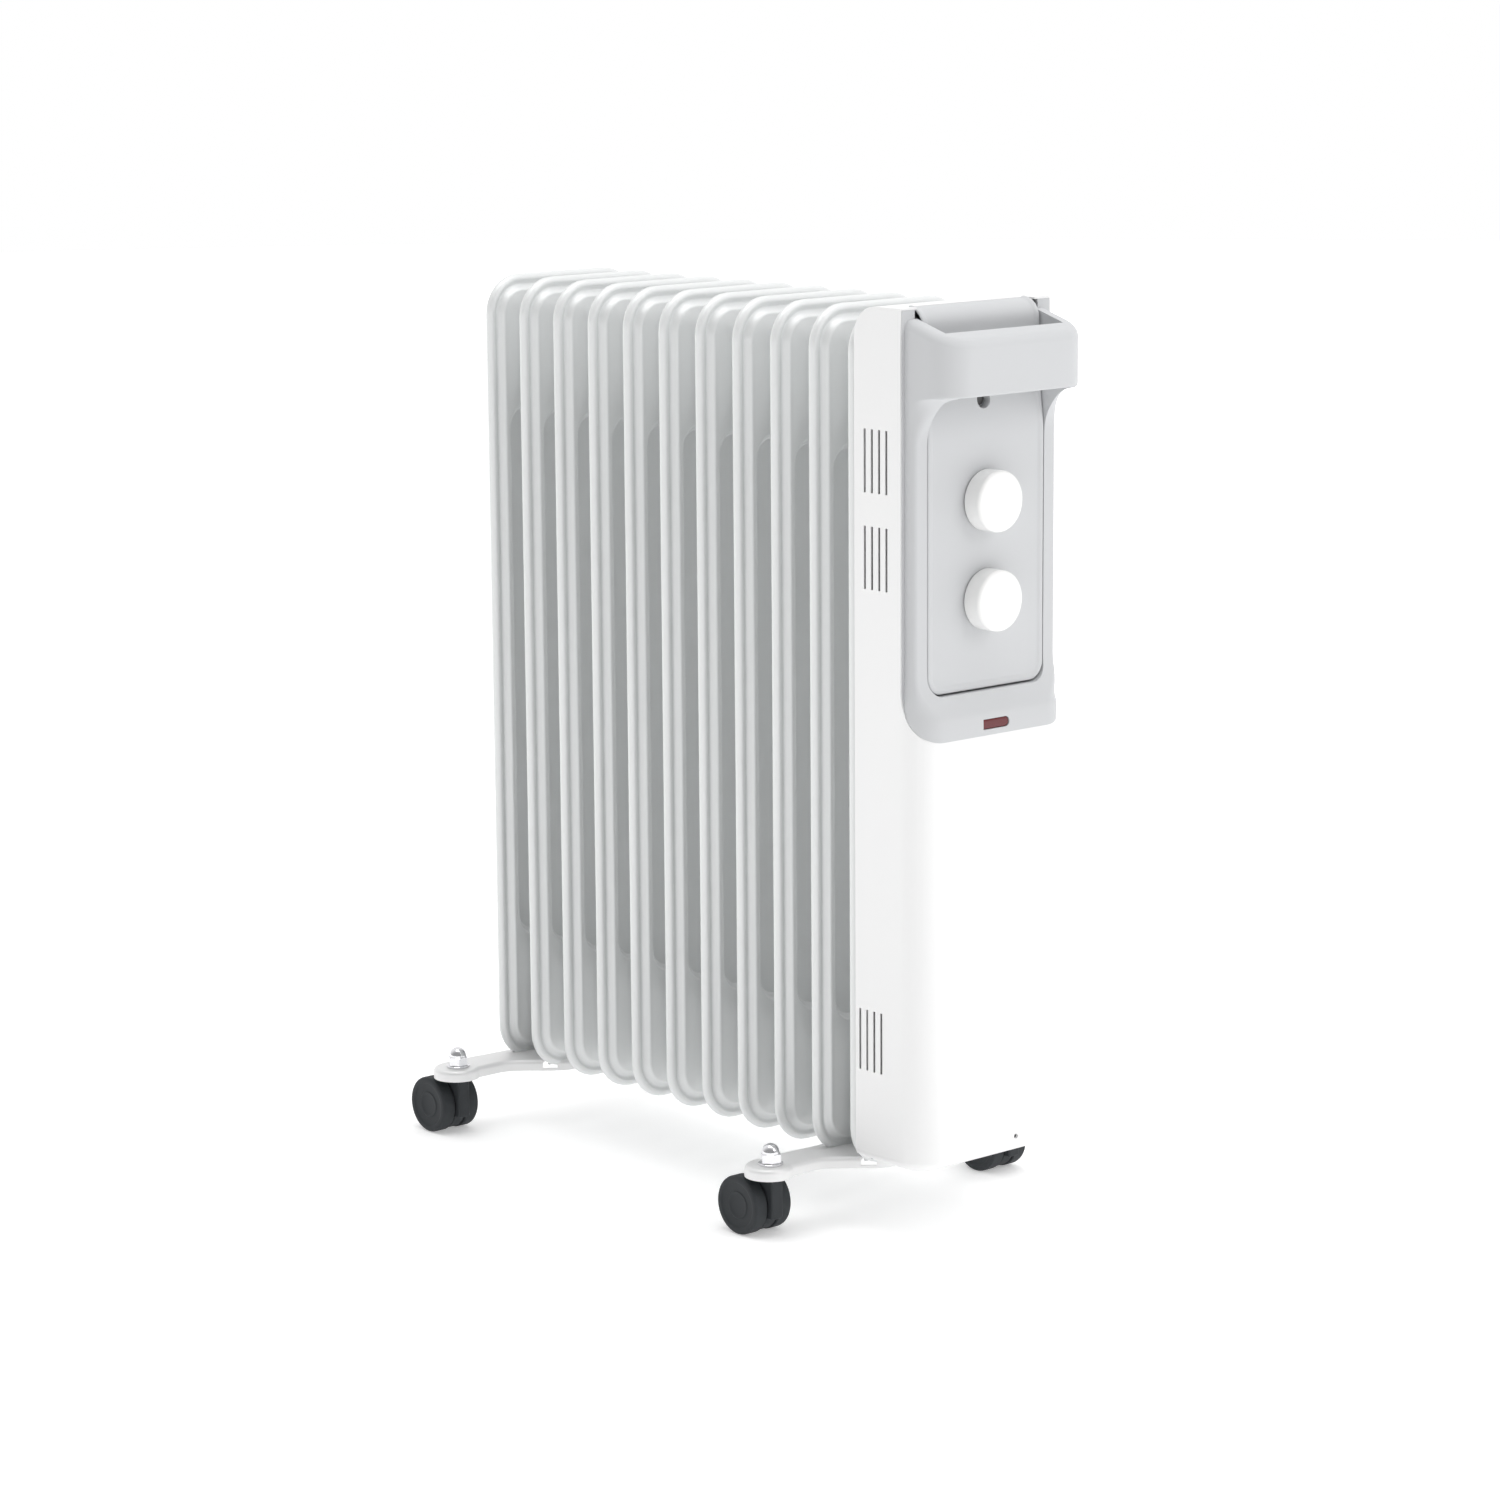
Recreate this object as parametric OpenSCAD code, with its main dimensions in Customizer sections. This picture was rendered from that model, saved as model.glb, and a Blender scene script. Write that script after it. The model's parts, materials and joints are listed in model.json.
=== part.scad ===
// Oil filled radiator heater: a stack of oil fins, a control housing with a handle, and caster feet.
// X runs along the stack with the control end at +X, Y runs across the fins, and Z is up.
// The origin is on the floor under the middle of the whole heater.

/* [Fin stack] */
// Number of fins
fin_count = 11; // [9:1:11]
// Distance from one fin to the next
fin_pitch = 38.5; // [34:0.5:46.5]
// Width of a fin across the heater
fin_w = 137; // [114:1:165]
// Height of a fin
fin_h = 582; // [485:1:700]
// Corner radius of a fin
fin_corner_r = 28; // [22:1:34]
// Width of the folded hem round a fin
hem_w = 8; // [6:0.5:9]
// Thickness of the folded hem
hem_t = 7; // [5:0.5:8.5]
// Width of the oil channel inside the hem
channel_w = 12; // [9:0.5:15]
// Thickness of a fin over its oil channel
channel_t = 13; // [11:0.5:15.5]
// Height of the bulged header at each end of a fin
header_h = 97; // [90:1:116]
// Thickness of a fin over its headers
header_t = 16; // [13:0.5:19]
// Thickness of the pressed web between the channels
web_t = 2; // [1.2:0.1:3]
// Sheet thickness of the fins
fin_wall = 1; // [0.8:0.1:1.4]

/* [Hubs] */
// Height of a hub axis above or below the fin's end
hub_inset = 63; // [56:1:74]
// Outer radius of a hub where it leaves the header
hub_base_r = 42; // [36:1:46]
// Outer radius of a hub where two fins meet
hub_neck_r = 17; // [16:0.5:20]
// Radius of the oil passage through the hubs
hub_bore_r = 15; // [14:0.5:15.5]
// Distance from an end fin's middle to its closed hub cap
hub_cap_reach = 14; // [11:0.5:17]
// Radius of a closed hub cap
hub_cap_r = 24; // [19:1:28]
// Distance from the bottom of the fins to the cold oil level
oil_level = 545; // [440:1:550]

/* [Heating element] */
// Distance from the last fin's middle to the face of its element boss
boss_reach = 26; // [22:1:30]
// Outer radius of the element boss
boss_r = 23; // [21:0.5:26]
// Radius of the element tubes
tube_r = 3.2; // [2.6:0.1:3.6]
// Half spacing of the element tubes
tube_offset = 5.2; // [4.6:0.1:5.8]
// Length of the element tubes inside the oil
element_l = 330; // [260:5:350]
// Thickness of the element plug's head
plug_head_t = 6; // [4:0.5:8]

/* [Housing] */
// Depth of the housing from its back edge to its front face
housing_d = 63.4; // [60:0.2:76]
// Gap between the last fin's hem and the housing
housing_gap = 0.6; // [0.4:0.1:2]
// Height of the housing's top above the fins
housing_rise = 3; // [1:0.5:8]
// Height of the housing's underside above the bottom of the fins
housing_lift = 9; // [6:0.5:16]
// Radius of the housing's upright front corners
housing_corner_r = 19.5; // [12:0.5:24]
// Radius of the housing's top back edge
housing_back_r = 20; // [8:1:26]
// Sheet thickness of the housing
housing_wall = 1.2; // [0.8:0.1:1.6]
// Width of a vent slot
vent_w = 2; // [1.5:0.1:3]
// Height of a vent slot
vent_h = 42; // [30:1:50]
// Distance between vent slots
vent_pitch = 6.9; // [5:0.1:7.2]
// Distance from the housing's back edge to the first upper vent slot
upper_vent_back = 10.2; // [6:0.2:12]
// Distance from the housing's back edge to the first lower vent slot
lower_vent_back = 4.6; // [4:0.2:12]
// Distance from the top of the fins down to the foot of the top vent slots
top_vent_drop = 119; // [60:1:122]
// Distance between the feet of the two upper groups of vent slots
vent_step = 64; // [54:1:70]
// Height of the lower vent slots' foot above the bottom of the fins
lower_vent_h = 72; // [30:1:120]

/* [Control fascia] */
// Distance from the housing's front face back to the fascia's side seam
seam_back = 19.2; // [17:0.2:22]
// Height of the fascia's bottom seam above the bottom of the fins
seam_h = 295; // [240:1:310]
// Radius of the seam where it turns from the side to the front
seam_r = 40; // [30:1:44]
// Distance from the housing's front face back to the fascia's front
fascia_recess = 9.5; // [6:0.5:11]
// Distance from each side of the housing in to the fascia's arms
fascia_inset = 3.5; // [2:0.5:5]
// Height of the flush lip at the fascia's bottom
lip_h = 35; // [28:1:42]
// Wall thickness of the plastic mouldings
moulding_wall = 2.5; // [2:0.1:3]
// Half width of the control panel
panel_half_w = 53; // [46:0.5:54]
// Thickness of the control panel
panel_t = 2.5; // [2:0.1:3]
// Clearance between fitted pieces
fit_gap = 0.3; // [0.2:0.05:0.5]

/* [Handle] */
// Distance from the housing's front face out to the handle's front
handle_reach = 22.5; // [18:0.5:30]
// Height of the handle bar
handle_h = 38; // [30:1:42]
// Thickness of the handle bar
handle_t = 15; // [12:0.5:18]
// Distance from the top of the fins down to the handle bar's top
handle_drop = 15; // [8:1:20]
// Plan radius of the handle's corners
handle_corner_r = 21; // [14:1:24]

/* [Knobs and indicator] */
// Radius of a knob
knob_r = 20.5; // [16:0.5:22]
// Height of a knob
knob_h = 15; // [10:0.5:18]
// Distance from the top of the fins down to the upper knob
upper_knob_drop = 126; // [110:1:130]
// Distance between the two knobs
knob_spacing = 66; // [52:1:72]
// Radius of a control spindle
spindle_r = 3; // [2.5:0.1:4]
// Width of the indicator window
window_w = 24; // [18:1:30]
// Height of the indicator window
window_h = 7; // [5:0.5:9]
// Height of the window's middle above the fascia's bottom seam
window_rise = 13; // [10:0.5:16]

/* [Feet] */
// Height of the fins above the floor
fin_clearance = 45; // [44:0.5:54]
// Distance from the side of the fins out to a caster stud
stud_out = 44; // [40:1:60]
// Distance from a foot bracket's middle back to its studs
stud_shift = 14; // [10:0.5:14]
// How far a foot bracket reaches past its two fins
bracket_over = 5.25; // [4.25:0.25:10.25]
// Sheet thickness of a foot bracket
bracket_t = 1.6; // [1.2:0.1:2]
// Height of a foot bracket's top above the bottom of the fins
bracket_rise = 5; // [4:0.5:7]
// Depth of a foot bracket's turned edge
bracket_skirt = 8; // [6:0.5:8.5]
// Radius of a bracket's round end
pad_r = 17; // [15:0.5:20]
// Radius of the clamp bolt's wire
clamp_wire_r = 3; // [2.5:0.1:3.5]
// Radius of the clamp bolt's bend, to the middle of its wire
clamp_bend_r = 27; // [25:0.5:29]

/* [Casters] */
// Radius of a caster wheel
wheel_r = 20.5; // [17:0.5:20.5]
// Width of a caster wheel
wheel_w = 10.5; // [8:0.5:12]
// Thickness of the hood between two wheels
hood_t = 10.4; // [9:0.2:12]
// Gap between a wheel and the hood
wheel_gap = 0.5; // [0.4:0.1:1]
// Distance from the swivel axis back to the wheel axle
caster_trail = 17; // [14:0.5:18]
// Radius of a wheel axle
axle_r = 2.5; // [2:0.1:3]
// Radius of the swivel pin below the bracket
pin_r = 3.4; // [2.8:0.1:3.8]
// Radius of the threaded stud above the bracket
stud_r = 4; // [3:0.1:4]
// Running clearance on a radius
run_gap = 0.08; // [0.05:0.01:0.1]

/* [Hidden] */
$fn = 64;
eps = 0.01;
past = 5;                                   // how far a cutting solid runs past what it cuts
x_first = -(rear_reach() + front_reach()) / 2;
x_last = x_first + (fin_count - 1) * fin_pitch;
function rear_reach() = fin_pitch / 2 - stud_shift - caster_trail - wheel_r;
function front_reach() = (fin_count - 1) * fin_pitch + hem_t / 2 + housing_gap + housing_d + handle_reach;
function fin_x(i) = x_first + i * fin_pitch;
fin_top = fin_clearance + fin_h;
fin_mid = fin_clearance + fin_h / 2;
low_hub_z = fin_clearance + hub_inset;
high_hub_z = fin_top - hub_inset;
hub_zs = [low_hub_z, high_hub_z];
housing_back = x_last + hem_t / 2 + housing_gap;
housing_front = housing_back + housing_d;
housing_bottom = fin_clearance + housing_lift;
housing_top = fin_top + housing_rise;
bulge_clear_x = x_last + header_t / 2 + housing_gap;    // the housing is cut clear of the last fin to here
seam_x = housing_front - seam_back;
seam_z = fin_clearance + seam_h;
fascia_front = housing_front - fascia_recess;
fascia_half_w = fin_w / 2 - fascia_inset;
lip_front = housing_front + 1;
lip_top = seam_z + lip_h;
handle_front = housing_front + handle_reach;
handle_back = handle_front - handle_t;
handle_top = fin_top - handle_drop;
handle_bottom = handle_top - handle_h;
sweep_r = handle_front - fascia_front;      // radius of the sweep from an arm up to the handle
bar_top_r = 5;
arm_top_r = 8;
arm_top_drop = 7;                           // how far the arms' tops stand below the housing's top
pocket_half_w = panel_half_w - 8;           // hollow in the handle bar's back
pocket_z = handle_bottom + moulding_wall + 1;
pocket_h = handle_h - 2 * moulding_wall - 6;
panel_front = fascia_front - 0.4;
ledge_w = 3;                                // ledge that the control panel seats on
ledge_top = handle_bottom - sweep_r - 12;
upper_knob_z = fin_top - upper_knob_drop;
lower_knob_z = upper_knob_z - knob_spacing;
knob_zs = [upper_knob_z, lower_knob_z];
window_z = seam_z + window_rise;
screw_hole_z = handle_bottom - 7;
screw_hole_r = 6;
panel_back_x = panel_front - 4;             // how far back the panel stands behind the handle
panel_roll_x = fascia_front - 18;           // where the panel's top edge meets the housing's top
panel_roll_r = panel_back_x - panel_roll_x; // outer radius of its roll over the top
panel_bend = [2, 18, 20];                   // small step, and the two heights between which it leans back
shield_x = x_last + hub_cap_reach + 3;
shield_t = 1.2;
shield_drop = 14;                           // gap between the shield's top and the housing's
post_r = 5;
post_floor = 6;                             // solid length at the foot of the screw post
panel_screw_r = 1.8;
panel_screw_l = 12;                         // thread length behind the cup
panel_head_t = 2.6;
panel_head_r = 4;
foot_hole_r = 2.1;
foot_screw_r = 1.9;
foot_screw_l = 9;
foot_head_t = 2;
foot_head_r = 3.8;
tab_y = 45;                                 // middle of a shield tab, off the heater's middle
tab_w = 24;
tab_d = 22;
foot_screw_x = shield_x + 12;
cup_wall = 1.5;
cup_r = screw_hole_r + 2;
cup_back = panel_front - panel_t - 8;       // back of the screw cup, where it meets the shield's post
control_body_d = 20;                        // depth of the thermostat and switch bodies
control_back = panel_front - panel_t - control_body_d;
thermostat_size = [32, 34];
selector_size = [28, 28];
knob_face = panel_front + knob_h;
knob_web = 3.6;                             // plastic left between the bore's end and the knob's face
spindle_play = 0.4;
spindle_foot = control_back + 6.4;
boss_face = x_last + boss_reach;
bend_room = 30;                             // free oil past the element's bends
gasket_t = 1.5;
plug_l = 12;                                // length of the element plug's thread
plug_hex_r = 26;
gasket_r = 22;
tube_end = boss_face + plug_head_t + 3;     // where a tube ends and its terminal pin begins
pin_end = tube_end + 8;
pin_wire_r = 1.6;
filler_x = x_first - hub_cap_reach;         // outer face of the first fin's cap
filler_r = 5.9;
filler_l = 7;
block_d = 14;
block_h = 20;
block_z = low_hub_z + 62;
block_x = shield_x + shield_t + 9;          // middle of the terminal screws
way_pitch = 10;
function way_y(k) = -43 + k * way_pitch;
gland_x = housing_front - 22;
cord_r = 4;
gland_r = 7;
bracket_xs = [fin_x(0) + fin_pitch / 2, x_last - fin_pitch / 2];
bracket_w = fin_pitch + hem_t + 2 * bracket_over;
body_inset = 12;                            // the wide part of a bracket ends this far inside the fins' sides
neck_in = 18;                               // where its side starts to narrow, and where it is narrow
neck_out = 24;
neck_step = 4;
bracket_top = fin_clearance + bracket_rise;
bracket_under = bracket_top - bracket_t;
stud_y = fin_w / 2 + stud_out;
leg_below = 9;                              // clamp bolt thread below the bracket's top sheet
washer_t = 1.5;
washer_r = 8.5;
nut_r = 7.5;
nut_h = 6.5;
nut_dome_r = 6.2;
nut_base = bracket_top + washer_t;
stud_top = nut_base + nut_h + 3;
hood_side = 0.8;                            // how far the hood stays inside the wheels' tread
saddle_half = 7;                            // half length of the hood's block round the swivel pin
saddle_drop = 8;                            // how far that block reaches below the axle
wheel_bevel = 1.2;
wheel_web = 2.5;                            // plastic left between an axle's end and a wheel's face
collar_t = 1.2;
collar_r = 7;
hood_top = bracket_under - collar_t - 0.4;
neck_r = 8;
wheel_y = hood_t / 2 + wheel_gap;           // inner face of a wheel from the hood's middle
axle_half_l = wheel_y + wheel_w - wheel_web;
CASTERS = ["rear_left", "rear_right", "front_left", "front_right"];
function caster_x(k) = bracket_xs[floor(k / 2)] - stud_shift;
function caster_y(k) = (k % 2 == 0 ? -1 : 1) * stud_y;
function fin_name(i) = str("fin_", i < 9 ? "0" : "", i + 1);

// ---------- shared shapes ----------

// Points along an arc in the plane of a profile.
function arc(cx, cy, r, a0, a1, n = 12) =
    [for (k = [0 : n]) let (a = a0 + (a1 - a0) * k / n) [cx + r * cos(a), cy + r * sin(a)]];

// Rectangle with round corners, centred.
module round_rect(w, h, r) {
    square([w - 2 * r, h], center = true);
    square([w, h - 2 * r], center = true);
    for (sx = [-1, 1], sy = [-1, 1]) translate([sx * (w / 2 - r), sy * (h / 2 - r)]) circle(r = r);
}

// A slab across the heater: its children lie in Y and Z, and it runs from x0 to x1.
module slab(x0, x1) {
    translate([x0, 0, 0]) rotate([90, 0, 90]) linear_extrude(height = x1 - x0) children();
}

// A side profile: its children lie in X and Z, and it runs from y0 to y1.
module side_slab(y0, y1) {
    translate([0, y1, 0]) rotate([90, 0, 0]) linear_extrude(height = y1 - y0) children();
}

module rod_x(x0, x1, r) { translate([x0, 0, 0]) rotate([0, 90, 0]) cylinder(h = x1 - x0, r = r); }
module cone_x(x0, x1, r0, r1) {
    translate([x0, 0, 0]) rotate([0, 90, 0]) cylinder(h = x1 - x0, r1 = r0, r2 = r1);
}
module rod_y(y0, y1, r) { translate([0, y0, 0]) rotate([-90, 0, 0]) cylinder(h = y1 - y0, r = r); }

// ---------- radiator block ----------

// One fin's outline, drawn in from its edge.
module fin_face(inset) {
    translate([0, fin_mid])
        round_rect(fin_w - 2 * inset, fin_h - 2 * inset, max(fin_corner_r - inset, 3));
}

// The pressed recess between the channels, grown by a margin.
module web_face(margin) {
    translate([0, fin_mid])
        round_rect(fin_w - 2 * (hem_w + channel_w) + 2 * margin, fin_h - 2 * header_h + 2 * margin, 13);
}

// The two header areas, drawn in from the fin's edge.
module header_faces(inset, margin) {
    intersection() {
        fin_face(inset);
        for (s = [-1, 1])
            translate([0, fin_mid + s * (fin_h / 2 - header_h / 2)])
                square([fin_w, header_h - 2 * margin], center = true);
    }
}

// The space that oil can fill in one fin, drawn in by a clearance.
module fin_space(i, clear) {
    wall = fin_wall + clear;
    half_channel = channel_t / 2 - wall;
    half_header = header_t / 2 - wall;
    cone_base = hub_base_r - 3 * fin_wall - 2 * clear;
    neck = hub_bore_r - 2 * clear;
    translate([fin_x(i), 0, 0]) {
        difference() {
            slab(-half_channel, half_channel) fin_face(hem_w + wall);
            slab(-half_channel - past, half_channel + past) web_face(wall);
        }
        slab(-half_header, half_header) header_faces(hem_w + wall, wall);
        intersection() {
            slab(-fin_pitch, fin_pitch) header_faces(hem_w + wall, wall);
            for (z = hub_zs, s = [-1, 1]) translate([0, 0, z]) scale([s, 1, 1])
                if (is_open(i, s)) {
                    cone_x(half_header - eps, fin_pitch / 2, cone_base, neck);
                } else {
                    cone_x(half_header - eps, hub_cap_reach - wall, cone_base, hub_cap_r - 2 * wall);
                }
        }
    }
}

// Whether a fin's hub is open to the next fin on the side s.
function is_open(i, s) = i + s >= 0 && i + s <= fin_count - 1;

// One pressed steel fin with its hubs.
module fin(i) {
    color("whitesmoke")
    difference() {
        union() {
            translate([fin_x(i), 0, 0]) {
                difference() {
                    slab(-hem_t / 2, hem_t / 2) fin_face(0);
                    slab(-hem_t, hem_t) fin_face(hem_w);
                }
                difference() {
                    slab(-channel_t / 2, channel_t / 2) fin_face(hem_w - eps);
                    slab(-channel_t, channel_t) web_face(0);
                }
                slab(-web_t / 2, web_t / 2) web_face(eps);
                slab(-header_t / 2, header_t / 2) header_faces(hem_w, 0);
                for (z = hub_zs, s = [-1, 1]) translate([0, 0, z]) scale([s, 1, 1])
                    if (is_open(i, s)) {
                        cone_x(header_t / 2 - eps, fin_pitch / 2, hub_base_r, hub_neck_r);
                    } else {
                        cone_x(header_t / 2 - eps, hub_cap_reach, hub_base_r, hub_cap_r);
                    }
            }
            if (i == fin_count - 1) translate([0, 0, low_hub_z]) rod_x(x_last, boss_face, boss_r);
        }
        fin_space(i, 0);
        if (i == fin_count - 1) translate([0, 0, low_hub_z]) rod_x(x_last, boss_face + past, hub_neck_r);
        if (i == 0) translate([0, 0, high_hub_z]) rod_x(filler_x - past, fin_x(0), filler_r + 0.1);
    }
}

// The oil, up to its cold level, with room round the element.
module oil_charge() {
    gap = 0.4;
    color("goldenrod")
    difference() {
        for (i = [0 : fin_count - 1]) fin_space(i, gap);
        translate([x_first - fin_pitch, -fin_w, fin_clearance + oil_level])
            cube([(fin_count + 1) * fin_pitch, 2 * fin_w, fin_h]);
        translate([0, 0, low_hub_z])
            rod_x(boss_face - element_l - bend_room, boss_face + past,
                  tube_offset * sqrt(2) + tube_r + gap);
        translate([0, 0, high_hub_z])
            rod_x(filler_x - past, filler_x + filler_l + gap, filler_r + gap);
    }
}

// Hexagonal screw that closes the filling hole in the first fin's cap.
module filler_plug() {
    head_t = 5;
    head_r = 10;
    color("silver") translate([0, 0, high_hub_z]) {
        rod_x(filler_x, filler_x + filler_l, filler_r);
        translate([filler_x - head_t, 0, 0]) rotate([0, 90, 0]) cylinder(h = head_t, r = head_r, $fn = 6);
    }
}

// Two hairpin tubes with their terminal pins.
module heating_element() {
    color("dimgray") translate([0, 0, low_hub_z])
        for (sy = [-1, 1]) translate([0, sy * tube_offset, 0]) {
            for (sz = [-1, 1]) translate([0, 0, sz * tube_offset]) {
                rod_x(boss_face - element_l, tube_end, tube_r);
                rod_x(tube_end, pin_end, pin_wire_r);
            }
            translate([boss_face - element_l + eps, 0, 0]) rotate([0, -90, 0]) rotate([90, 0, 0])
                rotate_extrude(angle = 180) translate([tube_offset, 0]) circle(r = tube_r);
        }
}

// Screwed brass plug that carries the element.
module element_plug() {
    color("goldenrod") translate([0, 0, low_hub_z]) difference() {
        union() {
            rod_x(boss_face - plug_l, boss_face + gasket_t, hub_neck_r - 0.1);
            translate([boss_face + gasket_t, 0, 0]) rotate([0, 90, 0])
                cylinder(h = plug_head_t - gasket_t, r = plug_hex_r, $fn = 6);
        }
        for (sy = [-1, 1], sz = [-1, 1]) translate([0, sy * tube_offset, sz * tube_offset])
            rod_x(boss_face - plug_l - past, boss_face + plug_head_t + past, tube_r + run_gap);
    }
}

module element_gasket() {
    color("saddlebrown") translate([0, 0, low_hub_z]) difference() {
        rod_x(boss_face, boss_face + gasket_t, gasket_r);
        rod_x(boss_face - past, boss_face + past, hub_neck_r);
    }
}

// ---------- housing ----------

// Plan of the housing, drawn in by a wall, with its back edge at x0.
module housing_plan(inset, x0) {
    r = housing_corner_r - inset;
    half_w = fin_w / 2 - inset;
    front = housing_front - inset;
    translate([x0, -half_w]) square([front - r - x0, 2 * half_w]);
    translate([x0, -half_w + r]) square([front - x0, 2 * (half_w - r)]);
    for (s = [-1, 1]) translate([front - r, s * (half_w - r)]) circle(r = r);
}

// Side profile of the housing, drawn in by a wall, with its back edge at x0.
module housing_profile(inset, x0) {
    r = housing_back_r - inset;
    top = housing_top - inset;
    back = housing_back + inset;
    polygon(concat(
        [[x0, housing_bottom + inset], [housing_front + past, housing_bottom + inset],
         [housing_front + past, top]],
        arc(back + r, top - r, r, 90, 180),
        [[x0, top - r]]));
}

// Side profile of everything in front of the fascia's seam, drawn in by a clearance.
module fascia_zone(clear) {
    polygon(concat(
        [[seam_x + clear, housing_top + past]],
        arc(seam_x + seam_r, seam_z + seam_r, seam_r - clear, 180, 270),
        [[handle_front + past, seam_z + clear], [handle_front + past, housing_top + past]]));
}

// Vent slots through both sides of the housing.
module vents() {
    groups = [[upper_vent_back, fin_top - top_vent_drop],
              [upper_vent_back, fin_top - top_vent_drop - vent_step],
              [lower_vent_back, fin_clearance + lower_vent_h]];
    for (g = groups, k = [0 : 3])
        translate([housing_back + g[0] + k * vent_pitch - vent_w / 2, -fin_w, g[1]])
            cube([vent_w, 2 * fin_w, vent_h]);
}

// Painted steel shell, open at the back and where the fascia fits.
module housing_shell() {
    color("white") difference() {
        intersection() {
            translate([0, 0, housing_bottom]) linear_extrude(height = housing_top - housing_bottom)
                housing_plan(0, housing_back);
            side_slab(-fin_w, fin_w) housing_profile(0, housing_back);
        }
        intersection() {
            translate([0, 0, housing_bottom]) linear_extrude(height = housing_top - housing_bottom)
                housing_plan(housing_wall, housing_back - past);
            side_slab(-fin_w, fin_w) housing_profile(housing_wall, housing_back - past);
        }
        side_slab(-fin_w, fin_w) fascia_zone(0);
        translate([panel_roll_x - fit_gap, -panel_half_w - fit_gap, housing_top - past])
            cube([past * 3, 2 * (panel_half_w + fit_gap), 2 * past]);
        slab(housing_back - past, bulge_clear_x) fin_face(hem_w - housing_gap);
        vents();
        translate([gland_x, 0, housing_bottom - past]) cylinder(h = 3 * past, r = gland_r + 0.1);
        foot_screw_holes();
    }
}

// Galvanised plate between the last fin and the controls, with two foot tabs and a screw post.
module heat_shield() {
    half_w = fin_w / 2 - housing_wall - 1;
    foot = housing_bottom + housing_wall;
    color("lightsteelblue") difference() {
        union() {
            slab(shield_x, shield_x + shield_t)
                translate([-half_w, foot]) square([2 * half_w, housing_top - foot - shield_drop]);
            for (s = [-1, 1])
                translate([shield_x, s * tab_y - tab_w / 2, foot]) cube([tab_d, tab_w, shield_t]);
            translate([0, 0, screw_hole_z]) rod_x(shield_x, cup_back, post_r);
        }
        translate([0, 0, low_hub_z]) rod_x(shield_x - past, shield_x + past, plug_hex_r + 3);
        translate([0, 0, screw_hole_z]) rod_x(shield_x + post_floor, panel_front, panel_screw_r + 0.1);
        foot_screw_holes();
    }
}

// Holes through the housing's floor and the shield's tabs.
module foot_screw_holes() {
    for (s = [-1, 1]) translate([foot_screw_x, s * tab_y, housing_bottom - past])
        cylinder(h = 4 * past, r = foot_hole_r);
}

module housing_screws() {
    color("silver")
        for (s = [-1, 1]) translate([foot_screw_x, s * tab_y, housing_bottom - foot_head_t]) {
            cylinder(h = foot_head_t, r = foot_head_r);
            cylinder(h = foot_screw_l, r = foot_screw_r);
        }
}

// Cord bushing in the housing's floor; its bore takes the mains cord.
module cord_gland() {
    flange_t = 2.5;
    length = 12;
    catch_t = 2;
    color("black") translate([gland_x, 0, housing_bottom]) difference() {
        union() {
            translate([0, 0, -flange_t]) cylinder(h = flange_t, r = gland_r + 2.5);
            translate([0, 0, -eps]) cylinder(h = length, r = gland_r);
            translate([0, 0, housing_wall + 0.2]) cylinder(h = catch_t, r = gland_r + 1.2);
        }
        translate([0, 0, -past]) cylinder(h = length + 2 * past, r = cord_r);
    }
}

// Four-way block on the shield, with a screw well over each way.
module terminal_block() {
    well_r = 2.4;
    color("ivory") difference() {
        translate([shield_x + shield_t, way_y(0) - way_pitch / 2, block_z])
            cube([block_d, 4 * way_pitch, block_h]);
        for (k = [0 : 3]) translate([block_x, way_y(k), block_z + block_h - past])
            cylinder(h = 2 * past, r = well_r);
    }
}

// A wire through a list of points, each one straight along X, Y or Z from the last.
module wire(points, r) {
    for (k = [0 : len(points) - 2]) {
        from = points[k];
        step = points[k + 1] - from;
        size = [for (c = [0 : 2]) abs(step[c]) + 2 * r];
        low = [for (c = [0 : 2]) min(from[c], points[k + 1][c]) - r];
        translate(low) cube(size);
    }
}

// Wires from the terminals to the element, the selector and the thermostat.
module wiring_loom() {
    wire_r = 1.1;
    block_top = block_z + block_h + wire_r + fit_gap;
    block_under = block_z - wire_r - fit_gap;
    back = control_back - wire_r - fit_gap;
    pin_x = pin_end + wire_r + fit_gap;
    elbow_z = low_hub_z + 46;
    climbs = [window_z + 40, window_z + 30, window_z + 10];
    upper = upper_knob_z;
    lower = lower_knob_z;
    color("firebrick") {
        wire([[block_x, way_y(0), block_top], [block_x, way_y(0), climbs[0]], [block_x, -8, climbs[0]],
              [block_x, -8, lower], [back, -8, lower]], wire_r);
        wire([[block_x, way_y(1), block_top], [block_x, way_y(1), climbs[1]], [block_x, 0, climbs[1]],
              [block_x, 0, lower - 8], [back, 0, lower - 8]], wire_r);
        wire([[back, 8, lower + 6], [block_x, 8, lower + 6], [block_x, 8, upper - 8],
              [back, 8, upper - 8]], wire_r);
        wire([[block_x, way_y(3), block_top], [block_x, way_y(3), climbs[2]], [block_x, 22, climbs[2]],
              [block_x, 22, upper], [block_x, -6, upper], [back, -6, upper]], wire_r);
        for (k = [0 : 1], y = -40 + 20 * k, tube_y = (2 * k - 1) * tube_offset)
            wire([[block_x, y, block_under], [block_x, y, elbow_z], [pin_x, y, elbow_z],
                  [pin_x, tube_y, elbow_z], [pin_x, tube_y, low_hub_z + tube_offset]], wire_r);
    }
}

// Bimetal safety cut-out, clipped to the shield.
module thermal_cutout() {
    can_r = 9;
    can_end = shield_x + shield_t + 9;
    blade = [7, 0.8, 6];
    color("burlywood") translate([0, 38, high_hub_z - 150]) {
        rod_x(shield_x + shield_t, can_end, can_r);
        for (s = [-1, 1]) translate([can_end - eps, s * 5 - blade[1] / 2, -blade[2] / 2]) cube(blade);
    }
}

// ---------- fascia and handle ----------

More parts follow.
